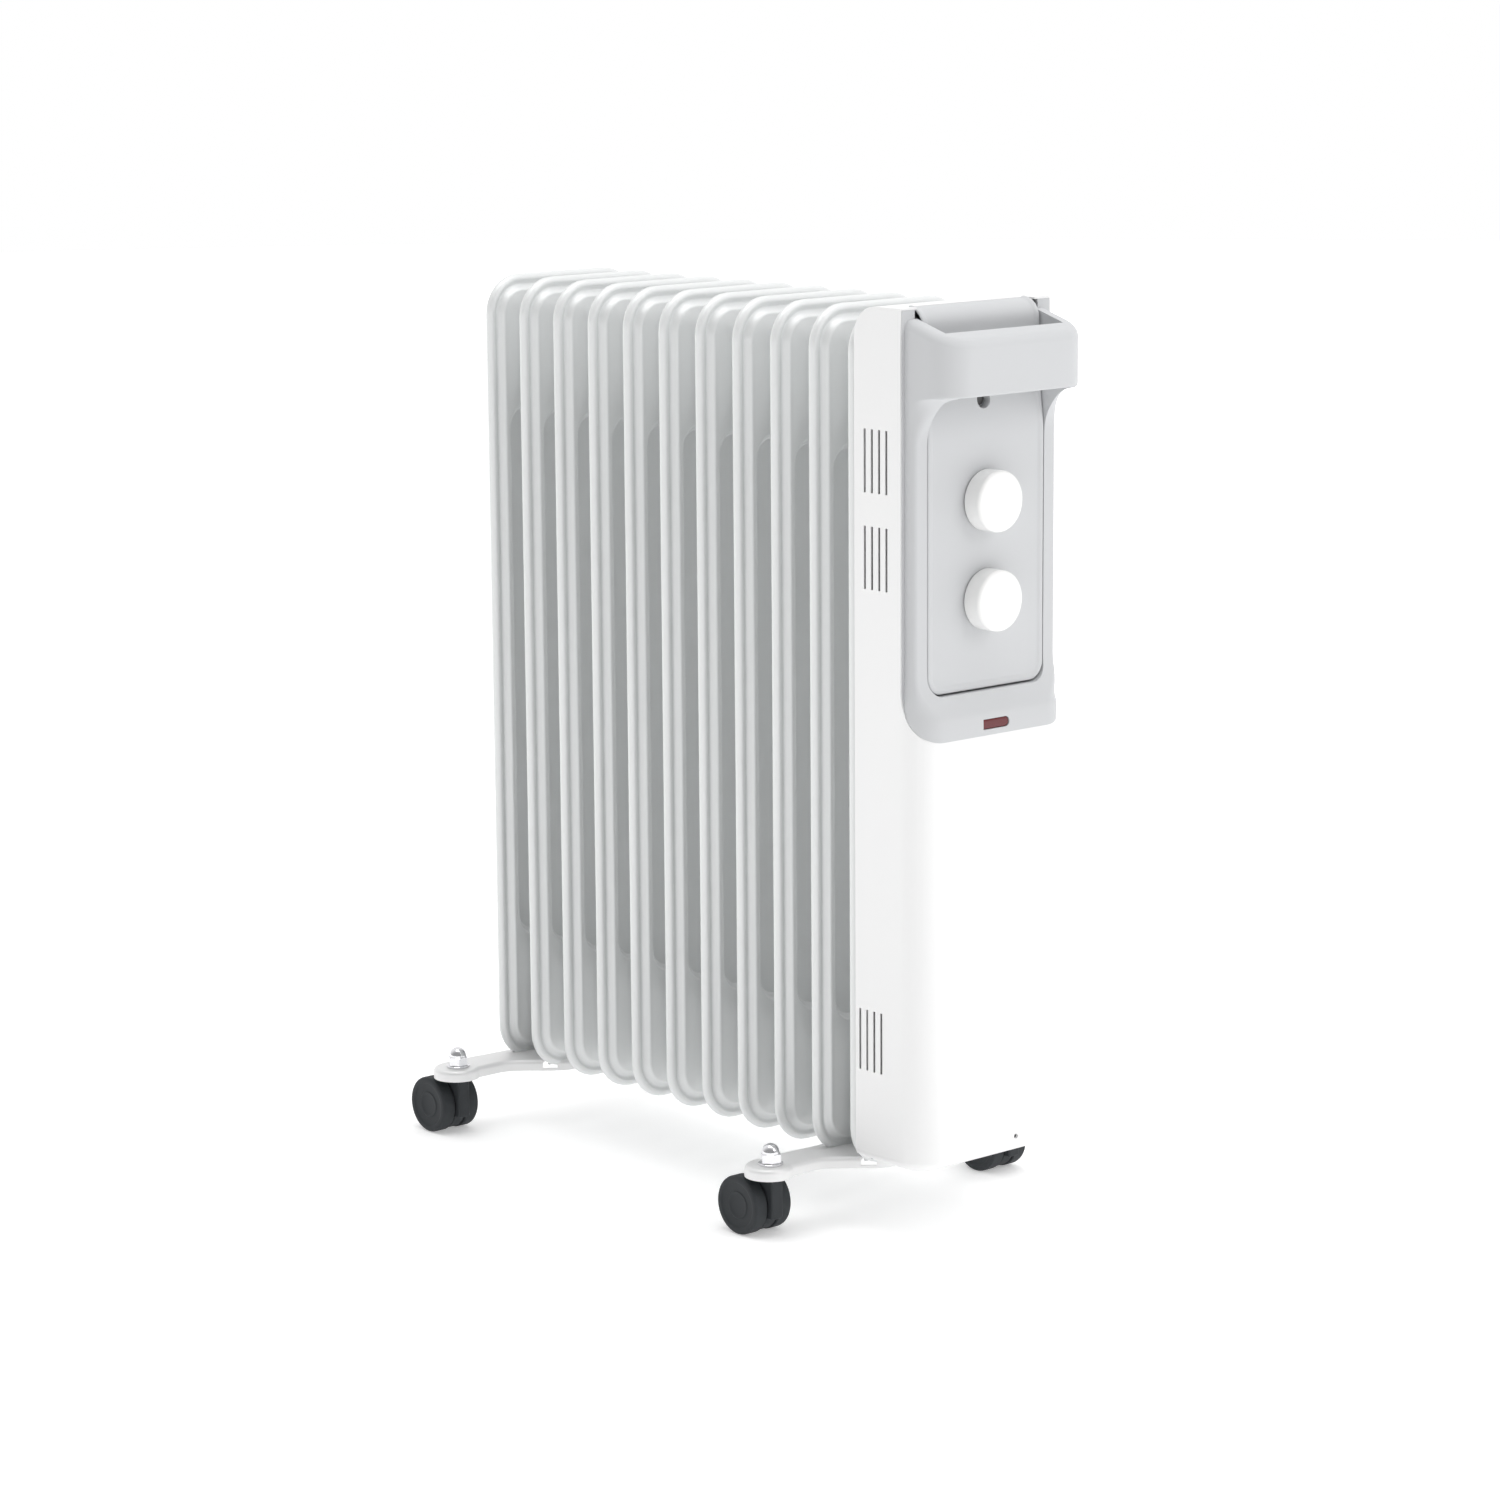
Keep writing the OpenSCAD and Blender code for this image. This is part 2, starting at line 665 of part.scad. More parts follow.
// Side profile of an arm, from the lip up to the handle.
module arm_profile(inset) {
    polygon(concat(
        [[seam_x + fit_gap, lip_top - moulding_wall], [fascia_front - inset, lip_top - moulding_wall]],
        arc(handle_front, handle_bottom - sweep_r, sweep_r + inset, 180, 90),
        [[handle_front - inset, handle_bottom + inset]],
        arc(handle_front - bar_top_r, handle_top - bar_top_r, bar_top_r - inset, 0, 70, 5),
        arc(seam_x + arm_top_r, housing_top - arm_top_drop - arm_top_r, arm_top_r - inset, 70, 130, 4),
        [[seam_x + fit_gap, housing_top - arm_top_drop - arm_top_r / 2 - inset]]));
}

// Plan of the handle's outer surface, with round front corners.
module handle_plan(inset) {
    r = handle_corner_r - inset;
    half_w = fascia_half_w - inset;
    front = handle_front - inset;
    translate([seam_x - past, -half_w]) square([front - r - seam_x + past, 2 * half_w]);
    translate([seam_x - past, -half_w + r]) square([front - seam_x + past, 2 * (half_w - r)]);
    for (s = [-1, 1]) translate([front - r, s * (half_w - r)]) circle(r = r);
}

// Plan of the lip, which carries on the housing's round corners.
module lip_plan(inset) {
    r = housing_corner_r + 1 - inset;
    half_w = fin_w / 2 - inset;
    front = lip_front - inset;
    translate([seam_x - past, -half_w]) square([front - r - seam_x + past, 2 * half_w]);
    translate([seam_x - past, -half_w + r]) square([front - seam_x + past, 2 * (half_w - r)]);
    for (s = [-1, 1]) translate([front - r, s * (half_w - r)]) circle(r = r);
}

// The indicator's window: square at one end and round at the other.
module window_face(grow) {
    w = window_w + 2 * grow;
    h = window_h + 2 * grow;
    translate([-w / 2, -h / 2]) square([w - h / 2, h]);
    translate([w / 2 - h / 2, 0]) circle(r = h / 2);
}

// Hollow lip at the bottom of the fascia.
module fascia_lip() {
    difference() {
        intersection() {
            translate([0, 0, seam_z]) linear_extrude(height = lip_h) lip_plan(0);
            side_slab(-fin_w, fin_w) fascia_zone(fit_gap);
        }
        translate([0, 0, seam_z - past]) linear_extrude(height = lip_h + past - moulding_wall)
            lip_plan(moulding_wall);
        translate([seam_x - past, -panel_half_w + ledge_w, lip_top - past])
            cube([panel_front - panel_t - seam_x + past, 2 * (panel_half_w - ledge_w), 2 * past]);
        slab(lip_front - past, lip_front + past) translate([0, window_z]) window_face(0);
    }
}

// Arms with the handle bar between them.
module fascia_frame() {
    difference() {
        intersection() {
            union() {
                for (s = [-1, 1]) scale([1, s, 1]) {
                    side_slab(panel_half_w + fit_gap, fascia_half_w) arm_profile(0);
                    translate([seam_x + fit_gap, panel_half_w - ledge_w, lip_top - moulding_wall])
                        cube([panel_front - panel_t - fit_gap - seam_x, ledge_w + fit_gap + eps,
                              ledge_top - lip_top]);
                }
                translate([handle_back, -fascia_half_w, handle_bottom])
                    cube([handle_t, 2 * fascia_half_w, handle_h]);
            }
            translate([0, 0, seam_z]) linear_extrude(height = housing_top) handle_plan(0);
            side_slab(-fin_w, fin_w) arm_profile(0);
        }
        for (s = [-1, 1]) scale([1, s, 1])
            translate([seam_x - past, panel_half_w + moulding_wall, lip_top])
                cube([fascia_front - seam_x + past - moulding_wall,
                      fascia_half_w - panel_half_w - 2 * moulding_wall, handle_top - lip_top - 10]);
        translate([handle_back - past, -pocket_half_w, pocket_z])
            cube([handle_t + past - moulding_wall, 2 * pocket_half_w, pocket_h]);
    }
}

// One grey moulding: lip, arms and handle.
module control_fascia() {
    color("lightgray") union() {
        fascia_lip();
        fascia_frame();
    }
}

// Cover that closes the hollow back of the handle bar.
module handle_back_cover() {
    cover_t = 2;
    color("lightgray")
        translate([handle_back, -pocket_half_w + fit_gap, pocket_z + fit_gap])
            cube([cover_t, 2 * (pocket_half_w - fit_gap), pocket_h - 2 * fit_gap]);
}

// Front of the control panel from the side: flat by the knobs, set back behind the handle, rolled over.
function panel_front_points() = concat(
    [[panel_front, lip_top + fit_gap], [panel_front, ledge_top + 6],
     [panel_front - panel_bend[0], handle_bottom - panel_bend[1]],
     [panel_back_x + panel_bend[0], handle_bottom + panel_bend[0]],
     [panel_back_x, handle_top - panel_bend[2]]],
    arc(panel_roll_x, housing_top - panel_roll_r, panel_roll_r, 0, 90, 8));

module panel_profile() {
    front = panel_front_points();
    back = concat(
        arc(panel_roll_x, housing_top - panel_roll_r, panel_roll_r - panel_t, 90, 0, 8),
        [for (k = [4 : -1 : 0]) front[k] - [panel_t, 0]]);
    polygon(concat(front, back));
}

// The space between the panel's front and the back of its screw cup.
module panel_fill() {
    front = panel_front_points();
    polygon(concat([for (k = [0 : 4]) front[k]],
                   [[cup_back, handle_top - panel_bend[2]], [cup_back, lip_top]]));
}

// Flat insert behind the knobs, with a cup that holds the screw under the handle.
module control_panel() {
    color("gainsboro") difference() {
        union() {
            side_slab(-panel_half_w, panel_half_w) panel_profile();
            intersection() {
                translate([0, 0, screw_hole_z]) rod_x(cup_back, panel_front, cup_r);
                side_slab(-2 * cup_r, 2 * cup_r) panel_fill();
            }
        }
        for (z = knob_zs) translate([0, 0, z]) rod_x(panel_front - past, panel_front + past, spindle_r + 1);
        translate([0, 0, screw_hole_z]) {
            rod_x(cup_back + cup_wall, panel_front + past, screw_hole_r);
            rod_x(cup_back - past, panel_front + past, panel_screw_r + 0.3);
        }
    }
}

// Screw that holds the panel's cup to the shield's post.
module panel_screw() {
    seat = cup_back + cup_wall;
    color("dimgray") translate([0, 0, screw_hole_z]) {
        rod_x(seat, seat + panel_head_t, panel_head_r);
        rod_x(cup_back - panel_screw_l, seat + 1, panel_screw_r);
    }
}

// ---------- controls ----------

// Body of a rotary control, behind the panel.
module control_body(z, size) {
    front = panel_front - panel_t - fit_gap;
    difference() {
        translate([control_back, -size[0] / 2, z - size[1] / 2])
            cube([front - control_back, size[0], size[1]]);
        translate([0, 0, z]) rod_x(spindle_foot - spindle_play, front + past, spindle_r + run_gap);
    }
}

// Spindle from inside a control body out to the knob's bore.
module spindle(z) {
    translate([0, 0, z]) rod_x(spindle_foot, knob_face - knob_web - spindle_play, spindle_r);
}

// Round knob with a bevelled rim and a blind bore, standing off the panel.
module knob(z) {
    foot = panel_front + 0.6;
    rim = 2;
    skirt_t = 2.5;
    boss_t = 3;
    translate([0, 0, z]) difference() {
        union() {
            rod_x(foot, knob_face - rim, knob_r);
            cone_x(knob_face - rim - eps, knob_face, knob_r, knob_r - rim);
        }
        rod_x(foot - past, knob_face - knob_web, spindle_r + 0.02);
        difference() {
            rod_x(foot - past, knob_face - 2 * skirt_t, knob_r - skirt_t);
            rod_x(foot - past, knob_face, spindle_r + boss_t);
        }
    }
}

module thermostat_body() { color("dimgray") control_body(upper_knob_z, thermostat_size); }
module thermostat_spindle() { color("silver") spindle(upper_knob_z); }
module thermostat_knob() { color("white") knob(upper_knob_z); }
module selector_body() { color("dimgray") control_body(lower_knob_z, selector_size); }
module selector_spindle() { color("silver") spindle(lower_knob_z); }
module selector_knob() { color("white") knob(lower_knob_z); }

module indicator_lens() {
    lens_front = lip_front - 0.5;
    color("darkred") translate([0, 0, window_z]) {
        slab(lens_front - moulding_wall - 0.8, lens_front) window_face(-0.15);
        slab(lip_front - moulding_wall - 2.5, lip_front - moulding_wall - fit_gap) window_face(1.5);
    }
}

// Neon lamp with its two leads.
module indicator_lamp() {
    lamp_front = lip_front - moulding_wall - 3;
    lamp_l = 14;
    lamp_r = 2.8;
    lead_l = 6;
    lead_r = 0.5;
    lead_y = 1.3;
    color("orangered") translate([0, 0, window_z]) {
        rod_x(lamp_front - lamp_l, lamp_front, lamp_r);
        for (s = [-1, 1]) translate([0, s * lead_y, 0])
            rod_x(lamp_front - lamp_l - lead_l, lamp_front - lamp_l + 1, lead_r);
    }
}

// ---------- feet ----------

// Plan of a foot bracket about its own middle, drawn in by a wall.
module bracket_plan(inset) {
    body_half = fin_w / 2 - body_inset;
    left = -bracket_w / 2 + inset;
    right = bracket_w / 2 - inset;
    neck_right = -stud_shift + pad_r - neck_step - inset;
    for (s = [-1, 1]) scale([1, s]) {
        translate([-stud_shift, stud_y]) circle(r = pad_r - inset);
        polygon([[left, -eps], [right, -eps], [right, body_half - neck_in],
                 [neck_right, body_half + neck_out], [neck_right, stud_y],
                 [-stud_shift - pad_r + inset, stud_y], [left, body_half]]);
    }
}

// Turned steel bracket: two fins stand in its slots, and it carries a caster at each end.
module foot_bracket(x) {
    corner_run = sqrt(pow(fin_corner_r, 2) - pow(fin_corner_r - bracket_rise, 2));
    slot_half = fin_w / 2 - fin_corner_r + corner_run + 1;
    color("white") translate([x, 0, 0]) difference() {
        translate([0, 0, bracket_top - bracket_skirt]) linear_extrude(height = bracket_skirt)
            bracket_plan(0);
        translate([0, 0, bracket_top - bracket_skirt - past])
            linear_extrude(height = bracket_skirt - bracket_t + past) bracket_plan(bracket_t);
        for (s = [-1, 1]) translate([s * fin_pitch / 2, 0, bracket_top])
            cube([hem_t + 1, 2 * slot_half, 2 * (bracket_rise + 1)], center = true);
        for (s = [-1, 1]) {
            translate([-stud_shift, s * stud_y, bracket_under - past])
                cylinder(h = 3 * past, r = stud_r + 0.2);
            translate([0, s * clamp_bend_r, bracket_under - past])
                cylinder(h = 3 * past, r = clamp_wire_r + 0.3);
        }
    }
}

module rear_bracket() { foot_bracket(bracket_xs[0]); }
module front_bracket() { foot_bracket(bracket_xs[1]); }

// Bent bolt that hooks over the hubs between two fins.
module clamp_bolt(x) {
    leg_foot = bracket_under - leg_below;
    color("silver") translate([x, 0, 0]) {
        translate([0, 0, low_hub_z]) rotate([0, 0, 90]) rotate([90, 0, 0])
            rotate_extrude(angle = 180) translate([clamp_bend_r, 0]) circle(r = clamp_wire_r);
        for (s = [-1, 1]) translate([0, s * clamp_bend_r, leg_foot])
            cylinder(h = low_hub_z - leg_foot + eps, r = clamp_wire_r);
    }
}

module rear_clamp_bolt() { clamp_bolt(bracket_xs[0]); }
module front_clamp_bolt() { clamp_bolt(bracket_xs[1]); }

module clamp_wing_nuts() {
    body_h = 6;
    body_r = 5.5;
    wing = [2, 24, 5];
    wing_drop = 8;
    color("silver") for (x = bracket_xs, s = [-1, 1])
        translate([x, s * clamp_bend_r, bracket_under]) difference() {
            union() {
                translate([0, 0, -body_h]) cylinder(h = body_h, r = body_r);
                translate([-wing[0] / 2, -wing[1] / 2, -wing_drop]) cube(wing);
            }
            translate([0, 0, -wing_drop - past])
                cylinder(h = wing_drop + 2 * past, r = clamp_wire_r + 0.1);
        }
}

// Studs with the swivel pins under them and a collar against each bracket.
module caster_studs() {
    color("silver") for (k = [0 : 3]) translate([caster_x(k), caster_y(k), 0]) {
        translate([0, 0, bracket_under]) cylinder(h = stud_top - bracket_under, r = stud_r);
        translate([0, 0, bracket_under - collar_t]) cylinder(h = collar_t, r = collar_r);
        translate([0, 0, wheel_r - 2]) cylinder(h = bracket_under - wheel_r + 2, r = pin_r);
    }
}

module stud_washers() {
    color("silver") for (k = [0 : 3]) translate([caster_x(k), caster_y(k), bracket_top]) difference() {
        cylinder(h = washer_t, r = washer_r);
        translate([0, 0, -past]) cylinder(h = 3 * past, r = stud_r + 0.2);
    }
}

module acorn_nuts() {
    color("silver") for (k = [0 : 3]) translate([caster_x(k), caster_y(k), nut_base]) difference() {
        union() {
            cylinder(h = nut_h, r = nut_r, $fn = 6);
            intersection() {
                translate([0, 0, nut_h]) sphere(r = nut_dome_r);
                translate([0, 0, nut_h - eps]) cylinder(h = 10, r = nut_dome_r + 1);
            }
        }
        translate([0, 0, -past]) cylinder(h = stud_top + 0.5 - nut_base + past, r = stud_r + 0.1);
    }
}

// ---------- casters ----------

// Hood between the wheels, with the neck that turns on the swivel pin.
module caster_hood(k) {
    shoulder = 2 * wheel_r + 0.6;
    color("black") translate([caster_x(k), caster_y(k), 0]) difference() {
        union() {
            translate([-caster_trail, 0, wheel_r]) rod_y(-hood_t / 2, hood_t / 2, wheel_r - hood_side);
            translate([-saddle_half, -hood_t / 2, wheel_r - saddle_drop])
                cube([2 * saddle_half, hood_t, hood_top - wheel_r + saddle_drop]);
            translate([0, 0, shoulder]) cylinder(h = hood_top - shoulder, r = neck_r);
        }
        translate([0, 0, wheel_r - 3]) cylinder(h = hood_top, r = pin_r + run_gap);
        translate([-caster_trail, 0, wheel_r]) rod_y(-hood_t, hood_t, axle_r + 0.05);
    }
}

module caster_axle(k) {
    color("silver") translate([caster_x(k) - caster_trail, caster_y(k), wheel_r])
        rod_y(-axle_half_l, axle_half_l, axle_r);
}

// One wheel: its flat outer face is closed, and its bore is blind. Side s is +1 or -1 along Y.
module caster_wheel(k, s) {
    color("black") translate([caster_x(k) - caster_trail, caster_y(k), wheel_r]) scale([1, s, 1])
        difference() {
            union() {
                rod_y(wheel_y, wheel_y + wheel_w - wheel_bevel, wheel_r);
                translate([0, wheel_y + wheel_w - wheel_bevel - eps, 0]) rotate([-90, 0, 0])
                    cylinder(h = wheel_bevel + eps, r1 = wheel_r, r2 = wheel_r - wheel_bevel);
            }
            rod_y(wheel_y - past, axle_half_l + 0.5, axle_r + run_gap);
        }
}

for (i = [0 : fin_count - 1]) fin(i);
oil_charge();
filler_plug();
heating_element();
element_plug();
element_gasket();
housing_shell();
heat_shield();
housing_screws();
cord_gland();
terminal_block();
wiring_loom();
thermal_cutout();
control_fascia();
handle_back_cover();
control_panel();
panel_screw();
thermostat_body();
thermostat_spindle();
thermostat_knob();
selector_body();
selector_spindle();
selector_knob();
indicator_lens();
indicator_lamp();
rear_bracket();
front_bracket();
rear_clamp_bolt();
front_clamp_bolt();
clamp_wing_nuts();
caster_studs();
stud_washers();
acorn_nuts();
for (k = [0 : 3]) {
    caster_hood(k);
    caster_axle(k);
    caster_wheel(k, k % 2 == 0 ? 1 : -1);
    caster_wheel(k, k % 2 == 0 ? -1 : 1);
}
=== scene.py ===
"""Looks of a free-standing oil filled radiator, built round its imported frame.

Lengths are metres. X runs along the fin stack towards the controls, Y across the fins and Z up.
"""

import json
import logging
import math
from dataclasses import dataclass
from enum import Enum
from typing import Callable, Dict, Iterable, List, Sequence, Tuple, Union

import bmesh
import bpy
from mathutils import Matrix, Vector


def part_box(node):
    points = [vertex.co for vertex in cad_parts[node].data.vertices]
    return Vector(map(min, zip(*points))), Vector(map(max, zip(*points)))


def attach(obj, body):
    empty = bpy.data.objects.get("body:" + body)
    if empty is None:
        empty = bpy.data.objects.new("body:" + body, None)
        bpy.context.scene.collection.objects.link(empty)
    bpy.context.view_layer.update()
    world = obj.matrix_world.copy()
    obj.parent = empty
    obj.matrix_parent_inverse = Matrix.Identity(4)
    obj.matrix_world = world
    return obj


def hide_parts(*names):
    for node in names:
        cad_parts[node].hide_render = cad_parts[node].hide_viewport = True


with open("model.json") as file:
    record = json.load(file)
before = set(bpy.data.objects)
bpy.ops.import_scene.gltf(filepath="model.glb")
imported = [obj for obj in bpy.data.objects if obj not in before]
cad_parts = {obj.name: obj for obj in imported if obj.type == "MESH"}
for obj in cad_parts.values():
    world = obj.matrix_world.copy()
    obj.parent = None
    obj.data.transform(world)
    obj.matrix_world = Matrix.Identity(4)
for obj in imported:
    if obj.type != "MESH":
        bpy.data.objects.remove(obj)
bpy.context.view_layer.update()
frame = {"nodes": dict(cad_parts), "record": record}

MM = 0.001
ROOT = "root"
FIN_COUNT = 11
CORNERS = ("rear_left", "rear_right", "front_left", "front_right")
log = logging.getLogger("radiator")

Point = Sequence[float]
Number = Union[float, "Wire"]
Colour = Tuple[float, float, float]


# ---------- shader maths ----------


class Wire:
    """A shader socket with arithmetic: each operation adds its Math node."""

    def __init__(self, shader: "Shader", socket: bpy.types.NodeSocket) -> None:
        """Keeps the socket and the shader it belongs to."""
        self.shader = shader
        self.socket = socket

    def _math(self, operation: str, left: Number, right: Number) -> "Wire":
        """Adds one Math node."""
        return self.shader.node("ShaderNodeMath", {"operation": operation}, {0: left, 1: right})

    def __add__(self, other: Number) -> "Wire":
        """Sum."""
        return self._math("ADD", self, other)

    def __radd__(self, other: Number) -> "Wire":
        """Sum with a number on the left."""
        return self._math("ADD", other, self)

    def __sub__(self, other: Number) -> "Wire":
        """Difference."""
        return self._math("SUBTRACT", self, other)

    def __rsub__(self, other: Number) -> "Wire":
        """Difference from a number on the left."""
        return self._math("SUBTRACT", other, self)

    def __mul__(self, other: Number) -> "Wire":
        """Product."""
        return self._math("MULTIPLY", self, other)

    def __rmul__(self, other: Number) -> "Wire":
        """Product with a number on the left."""
        return self._math("MULTIPLY", other, self)

    def __pow__(self, other: Number) -> "Wire":
        """Power."""
        return self._math("POWER", self, other)


class Shader:
    """The node tree of one material or of the world."""

    def __init__(self, tree: bpy.types.NodeTree) -> None:
        """Empties the tree."""
        self.tree = tree
        tree.nodes.clear()

    def node(self, kind: str, settings: Dict[str, object], inputs: Dict[Union[int, str], object],
             output: Union[int, str] = 0) -> Wire:
        """Adds one node.

        Args:
            kind: The node's type.
            settings: Its own properties, or "stops" for a ramp's positions and colours.
            inputs: Values or wires by socket name or number.
            output: The output that is handed back.

        Returns:
            The chosen output.
        """
        made = self.tree.nodes.new(kind)
        for name, value in settings.items():
            if name == "stops":
                for stop, (place, colour) in zip(made.color_ramp.elements, value):
                    stop.position = place
                    stop.color = (*colour, 1.0)
            else:
                setattr(made, name, value)
        for name, value in inputs.items():
            if isinstance(value, Wire):
                self.tree.links.new(value.socket, made.inputs[name])
            else:
                made.inputs[name].default_value = value
        return Wire(self, made.outputs[output])

    def place(self) -> Wire:
        """Object coordinates."""
        return self.node("ShaderNodeTexCoord", {}, {}, "Object")

    def noise(self, scale: float, detail: float, stretch: Point = (1, 1, 1)) -> Wire:
        """Noise from 0 to 1 in object space, with features of about 1 / scale metres."""
        where = self.node("ShaderNodeMapping", {}, {"Vector": self.place(), "Scale": stretch})
        return self.node("ShaderNodeTexNoise", {}, {"Vector": where, "Scale": scale, "Detail": detail}, "Fac")

    def mix(self, amount: Number, low: Colour, high: Union[Colour, Wire]) -> Wire:
        """Blend of two colours."""
        ends = {0: amount, 6: (*low, 1.0), 7: high if isinstance(high, Wire) else (*high, 1.0)}
        return self.node("ShaderNodeMix", {"data_type": "RGBA"}, ends, 2)

    def bump(self, height: Wire, depth: float, under: Union[Wire, None] = None) -> Wire:
        """Normal of a relief whose full height is depth metres."""
        inputs = {"Height": height, "Distance": depth, "Strength": 1.0}
        if under is not None:
            inputs["Normal"] = under
        return self.node("ShaderNodeBump", {}, inputs)

    def surface(self, constants: Dict[str, object], textured: Dict[str, object]) -> None:
        """Ends the material in one principled surface."""
        shade = self.node("ShaderNodeBsdfPrincipled", {}, {**constants, **textured})
        self.end("ShaderNodeOutputMaterial", shade)

    def end(self, kind: str, shade: Wire) -> None:
        """Links a surface to an output node."""
        made = self.tree.nodes.new(kind)
        self.tree.links.new(shade.socket, made.inputs["Surface"])


# ---------- finishes ----------


@dataclass(frozen=True)
class Finish:
    """A finish with a slow change of tone, a worn or uneven gloss and a fine relief."""

    colour: Colour
    roughness: float
    tone_spread: float = 0.05
    tone_scale: float = 9.0
    gloss_spread: float = 0.06
    grain_scale: float = 900.0
    grain_depth: float = 0.02 * MM
    grain_stretch: Tuple[float, float, float] = (1.0, 1.0, 1.0)
    metallic: float = 0.0
    coat: float = 0.0

    def constants(self) -> Dict[str, object]:
        """Values that are the same all over the surface."""
        return {"Metallic": self.metallic, "Coat Weight": self.coat, "Coat Roughness": 0.12}

    def tint(self, shader: Shader) -> Wire:
        """Colour that drifts slowly between a darker and a lighter tone."""
        dark = tuple(c * (1 - self.tone_spread) for c in self.colour)
        light = tuple(min(c * (1 + self.tone_spread), 1.0) for c in self.colour)
        return shader.mix(shader.noise(self.tone_scale, 3.0), dark, light)

    def relief(self, shader: Shader) -> Wire:
        """Fine relief of the surface."""
        return shader.bump(shader.noise(self.grain_scale, 2.0, self.grain_stretch), self.grain_depth)

    def material(self, name: str) -> bpy.types.Material:
        """Builds the material.

        Args:
            name: The material's name.

        Returns:
            A node material.
        """
        made = bpy.data.materials.new(name)
        made.use_nodes = True
        shader = Shader(made.node_tree)
        gloss = shader.noise(self.tone_scale * 6, 4.0) * (2 * self.gloss_spread) + (self.roughness - self.gloss_spread)
        textured = {"Base Color": self.tint(shader), "Roughness": gloss, "Normal": self.relief(shader)}
        shader.surface(self.constants(), textured)
        return made


@dataclass(frozen=True)
class Enamel(Finish):
    """Sprayed gloss paint: a faint long ripple under a fine one."""

    ripple_scale: float = 120.0
    ripple_depth: float = 0.03 * MM

    def relief(self, shader: Shader) -> Wire:
        """Orange-peel skin."""
        ripple = shader.bump(shader.noise(self.ripple_scale, 1.0), self.ripple_depth)
        return shader.bump(shader.noise(self.grain_scale, 1.0), self.grain_depth, ripple)


@dataclass(frozen=True)
class Spangled(Finish):
    """Galvanised sheet: flat crystals that differ in tone."""

    crystal_scale: float = 140.0

    def tint(self, shader: Shader) -> Wire:
        """Each crystal has its own tone."""
        cell = shader.node("ShaderNodeTexVoronoi", {}, {"Vector": shader.place(), "Scale": self.crystal_scale},
                           "Color")
        tone = shader.node("ShaderNodeRGBToBW", {}, {"Color": cell})
        dark = tuple(c * 0.82 for c in self.colour)
        return shader.mix(tone, dark, self.colour)


@dataclass(frozen=True)
class Lens(Finish):
    """Tinted window moulding, deep in colour and polished."""

    def constants(self) -> Dict[str, object]:
        """A polished coat over the tint."""
        return {**super().constants(), "IOR": 1.3, "Coat Weight": 0.15, "Coat Roughness": 0.03}


class Slot(Enum):
    """The record's material slots and the finish of each."""

    FIN_PAINT = Enamel((0.74, 0.76, 0.76), 0.27, tone_spread=0.02, coat=0.35)
    HOUSING_PAINT = Enamel((0.80, 0.80, 0.805), 0.34, tone_spread=0.012, coat=0.2, ripple_depth=0.015 * MM)
    BRACKET_PAINT = Enamel((0.84, 0.84, 0.84), 0.32, tone_spread=0.015, coat=0.2)
    GREY_PLASTIC = Finish((0.56, 0.58, 0.59), 0.34, tone_spread=0.015, grain_scale=2600, grain_depth=0.012 * MM)
    WHITE_PLASTIC = Finish((0.82, 0.82, 0.82), 0.36, tone_spread=0.012, grain_scale=2200, grain_depth=0.01 * MM)
    BLACK_PLASTIC = Finish((0.022, 0.022, 0.022), 0.5, grain_scale=1800)
    CASTER_PLASTIC = Finish((0.013, 0.018, 0.021), 0.42, tone_spread=0.25, tone_scale=60, gloss_spread=0.1,
                            grain_scale=1500, grain_depth=0.025 * MM)
    LENS_RED = Lens((0.02, 0.004, 0.007), 0.2, grain_depth=0.004 * MM)
    LAMP_GLASS = Lens((0.75, 0.30, 0.16), 0.08, grain_depth=0.002 * MM)
    CHROME = Finish((0.72, 0.73, 0.74), 0.1, metallic=1.0, gloss_spread=0.05, tone_scale=90,
                    grain_depth=0.004 * MM)
    ZINC_STEEL = Finish((0.60, 0.61, 0.60), 0.3, metallic=1.0, gloss_spread=0.1, tone_scale=120)
    ZINC_SHEET = Spangled((0.58, 0.60, 0.62), 0.38, metallic=1.0)
    ELEMENT_STEEL = Finish((0.26, 0.25, 0.24), 0.5, metallic=1.0, tone_spread=0.2, tone_scale=40)
    PLUG_BRASS = Finish((0.68, 0.50, 0.24), 0.3, metallic=1.0, grain_stretch=(1, 9, 9))
    GASKET_FIBRE = Finish((0.26, 0.12, 0.08), 0.8, tone_spread=0.2, tone_scale=200, grain_depth=0.06 * MM)
    NATURAL_NYLON = Finish((0.76, 0.73, 0.64), 0.45)
    WIRE_RED = Finish((0.38, 0.04, 0.03), 0.4, tone_spread=0.1)
    DARK_BAKELITE = Finish((0.05, 0.043, 0.038), 0.35, tone_spread=0.2, tone_scale=150)
    BLACK_STEEL = Finish((0.05, 0.05, 0.05), 0.4, metallic=1.0)
    OIL = Lens((0.52, 0.34, 0.09), 0.1, grain_depth=0.001 * MM)

    @property
    def slot(self) -> str:
        """The slot's name in the record."""
        return self.name.lower()

    def material(self) -> bpy.types.Material:
        """The slot's material, made once."""
        return bpy.data.materials.get(self.slot) or self.value.material(self.slot)


# ---------- mesh work ----------


def ease(share: float) -> float:
    """Smooth step from 0 to 1."""
    t = min(max(share, 0.0), 1.0)
    return t * t * (3 - 2 * t)


def between(low: float, high: float, share: float) -> float:
    """Straight blend of two values."""
    return low + (high - low) * share


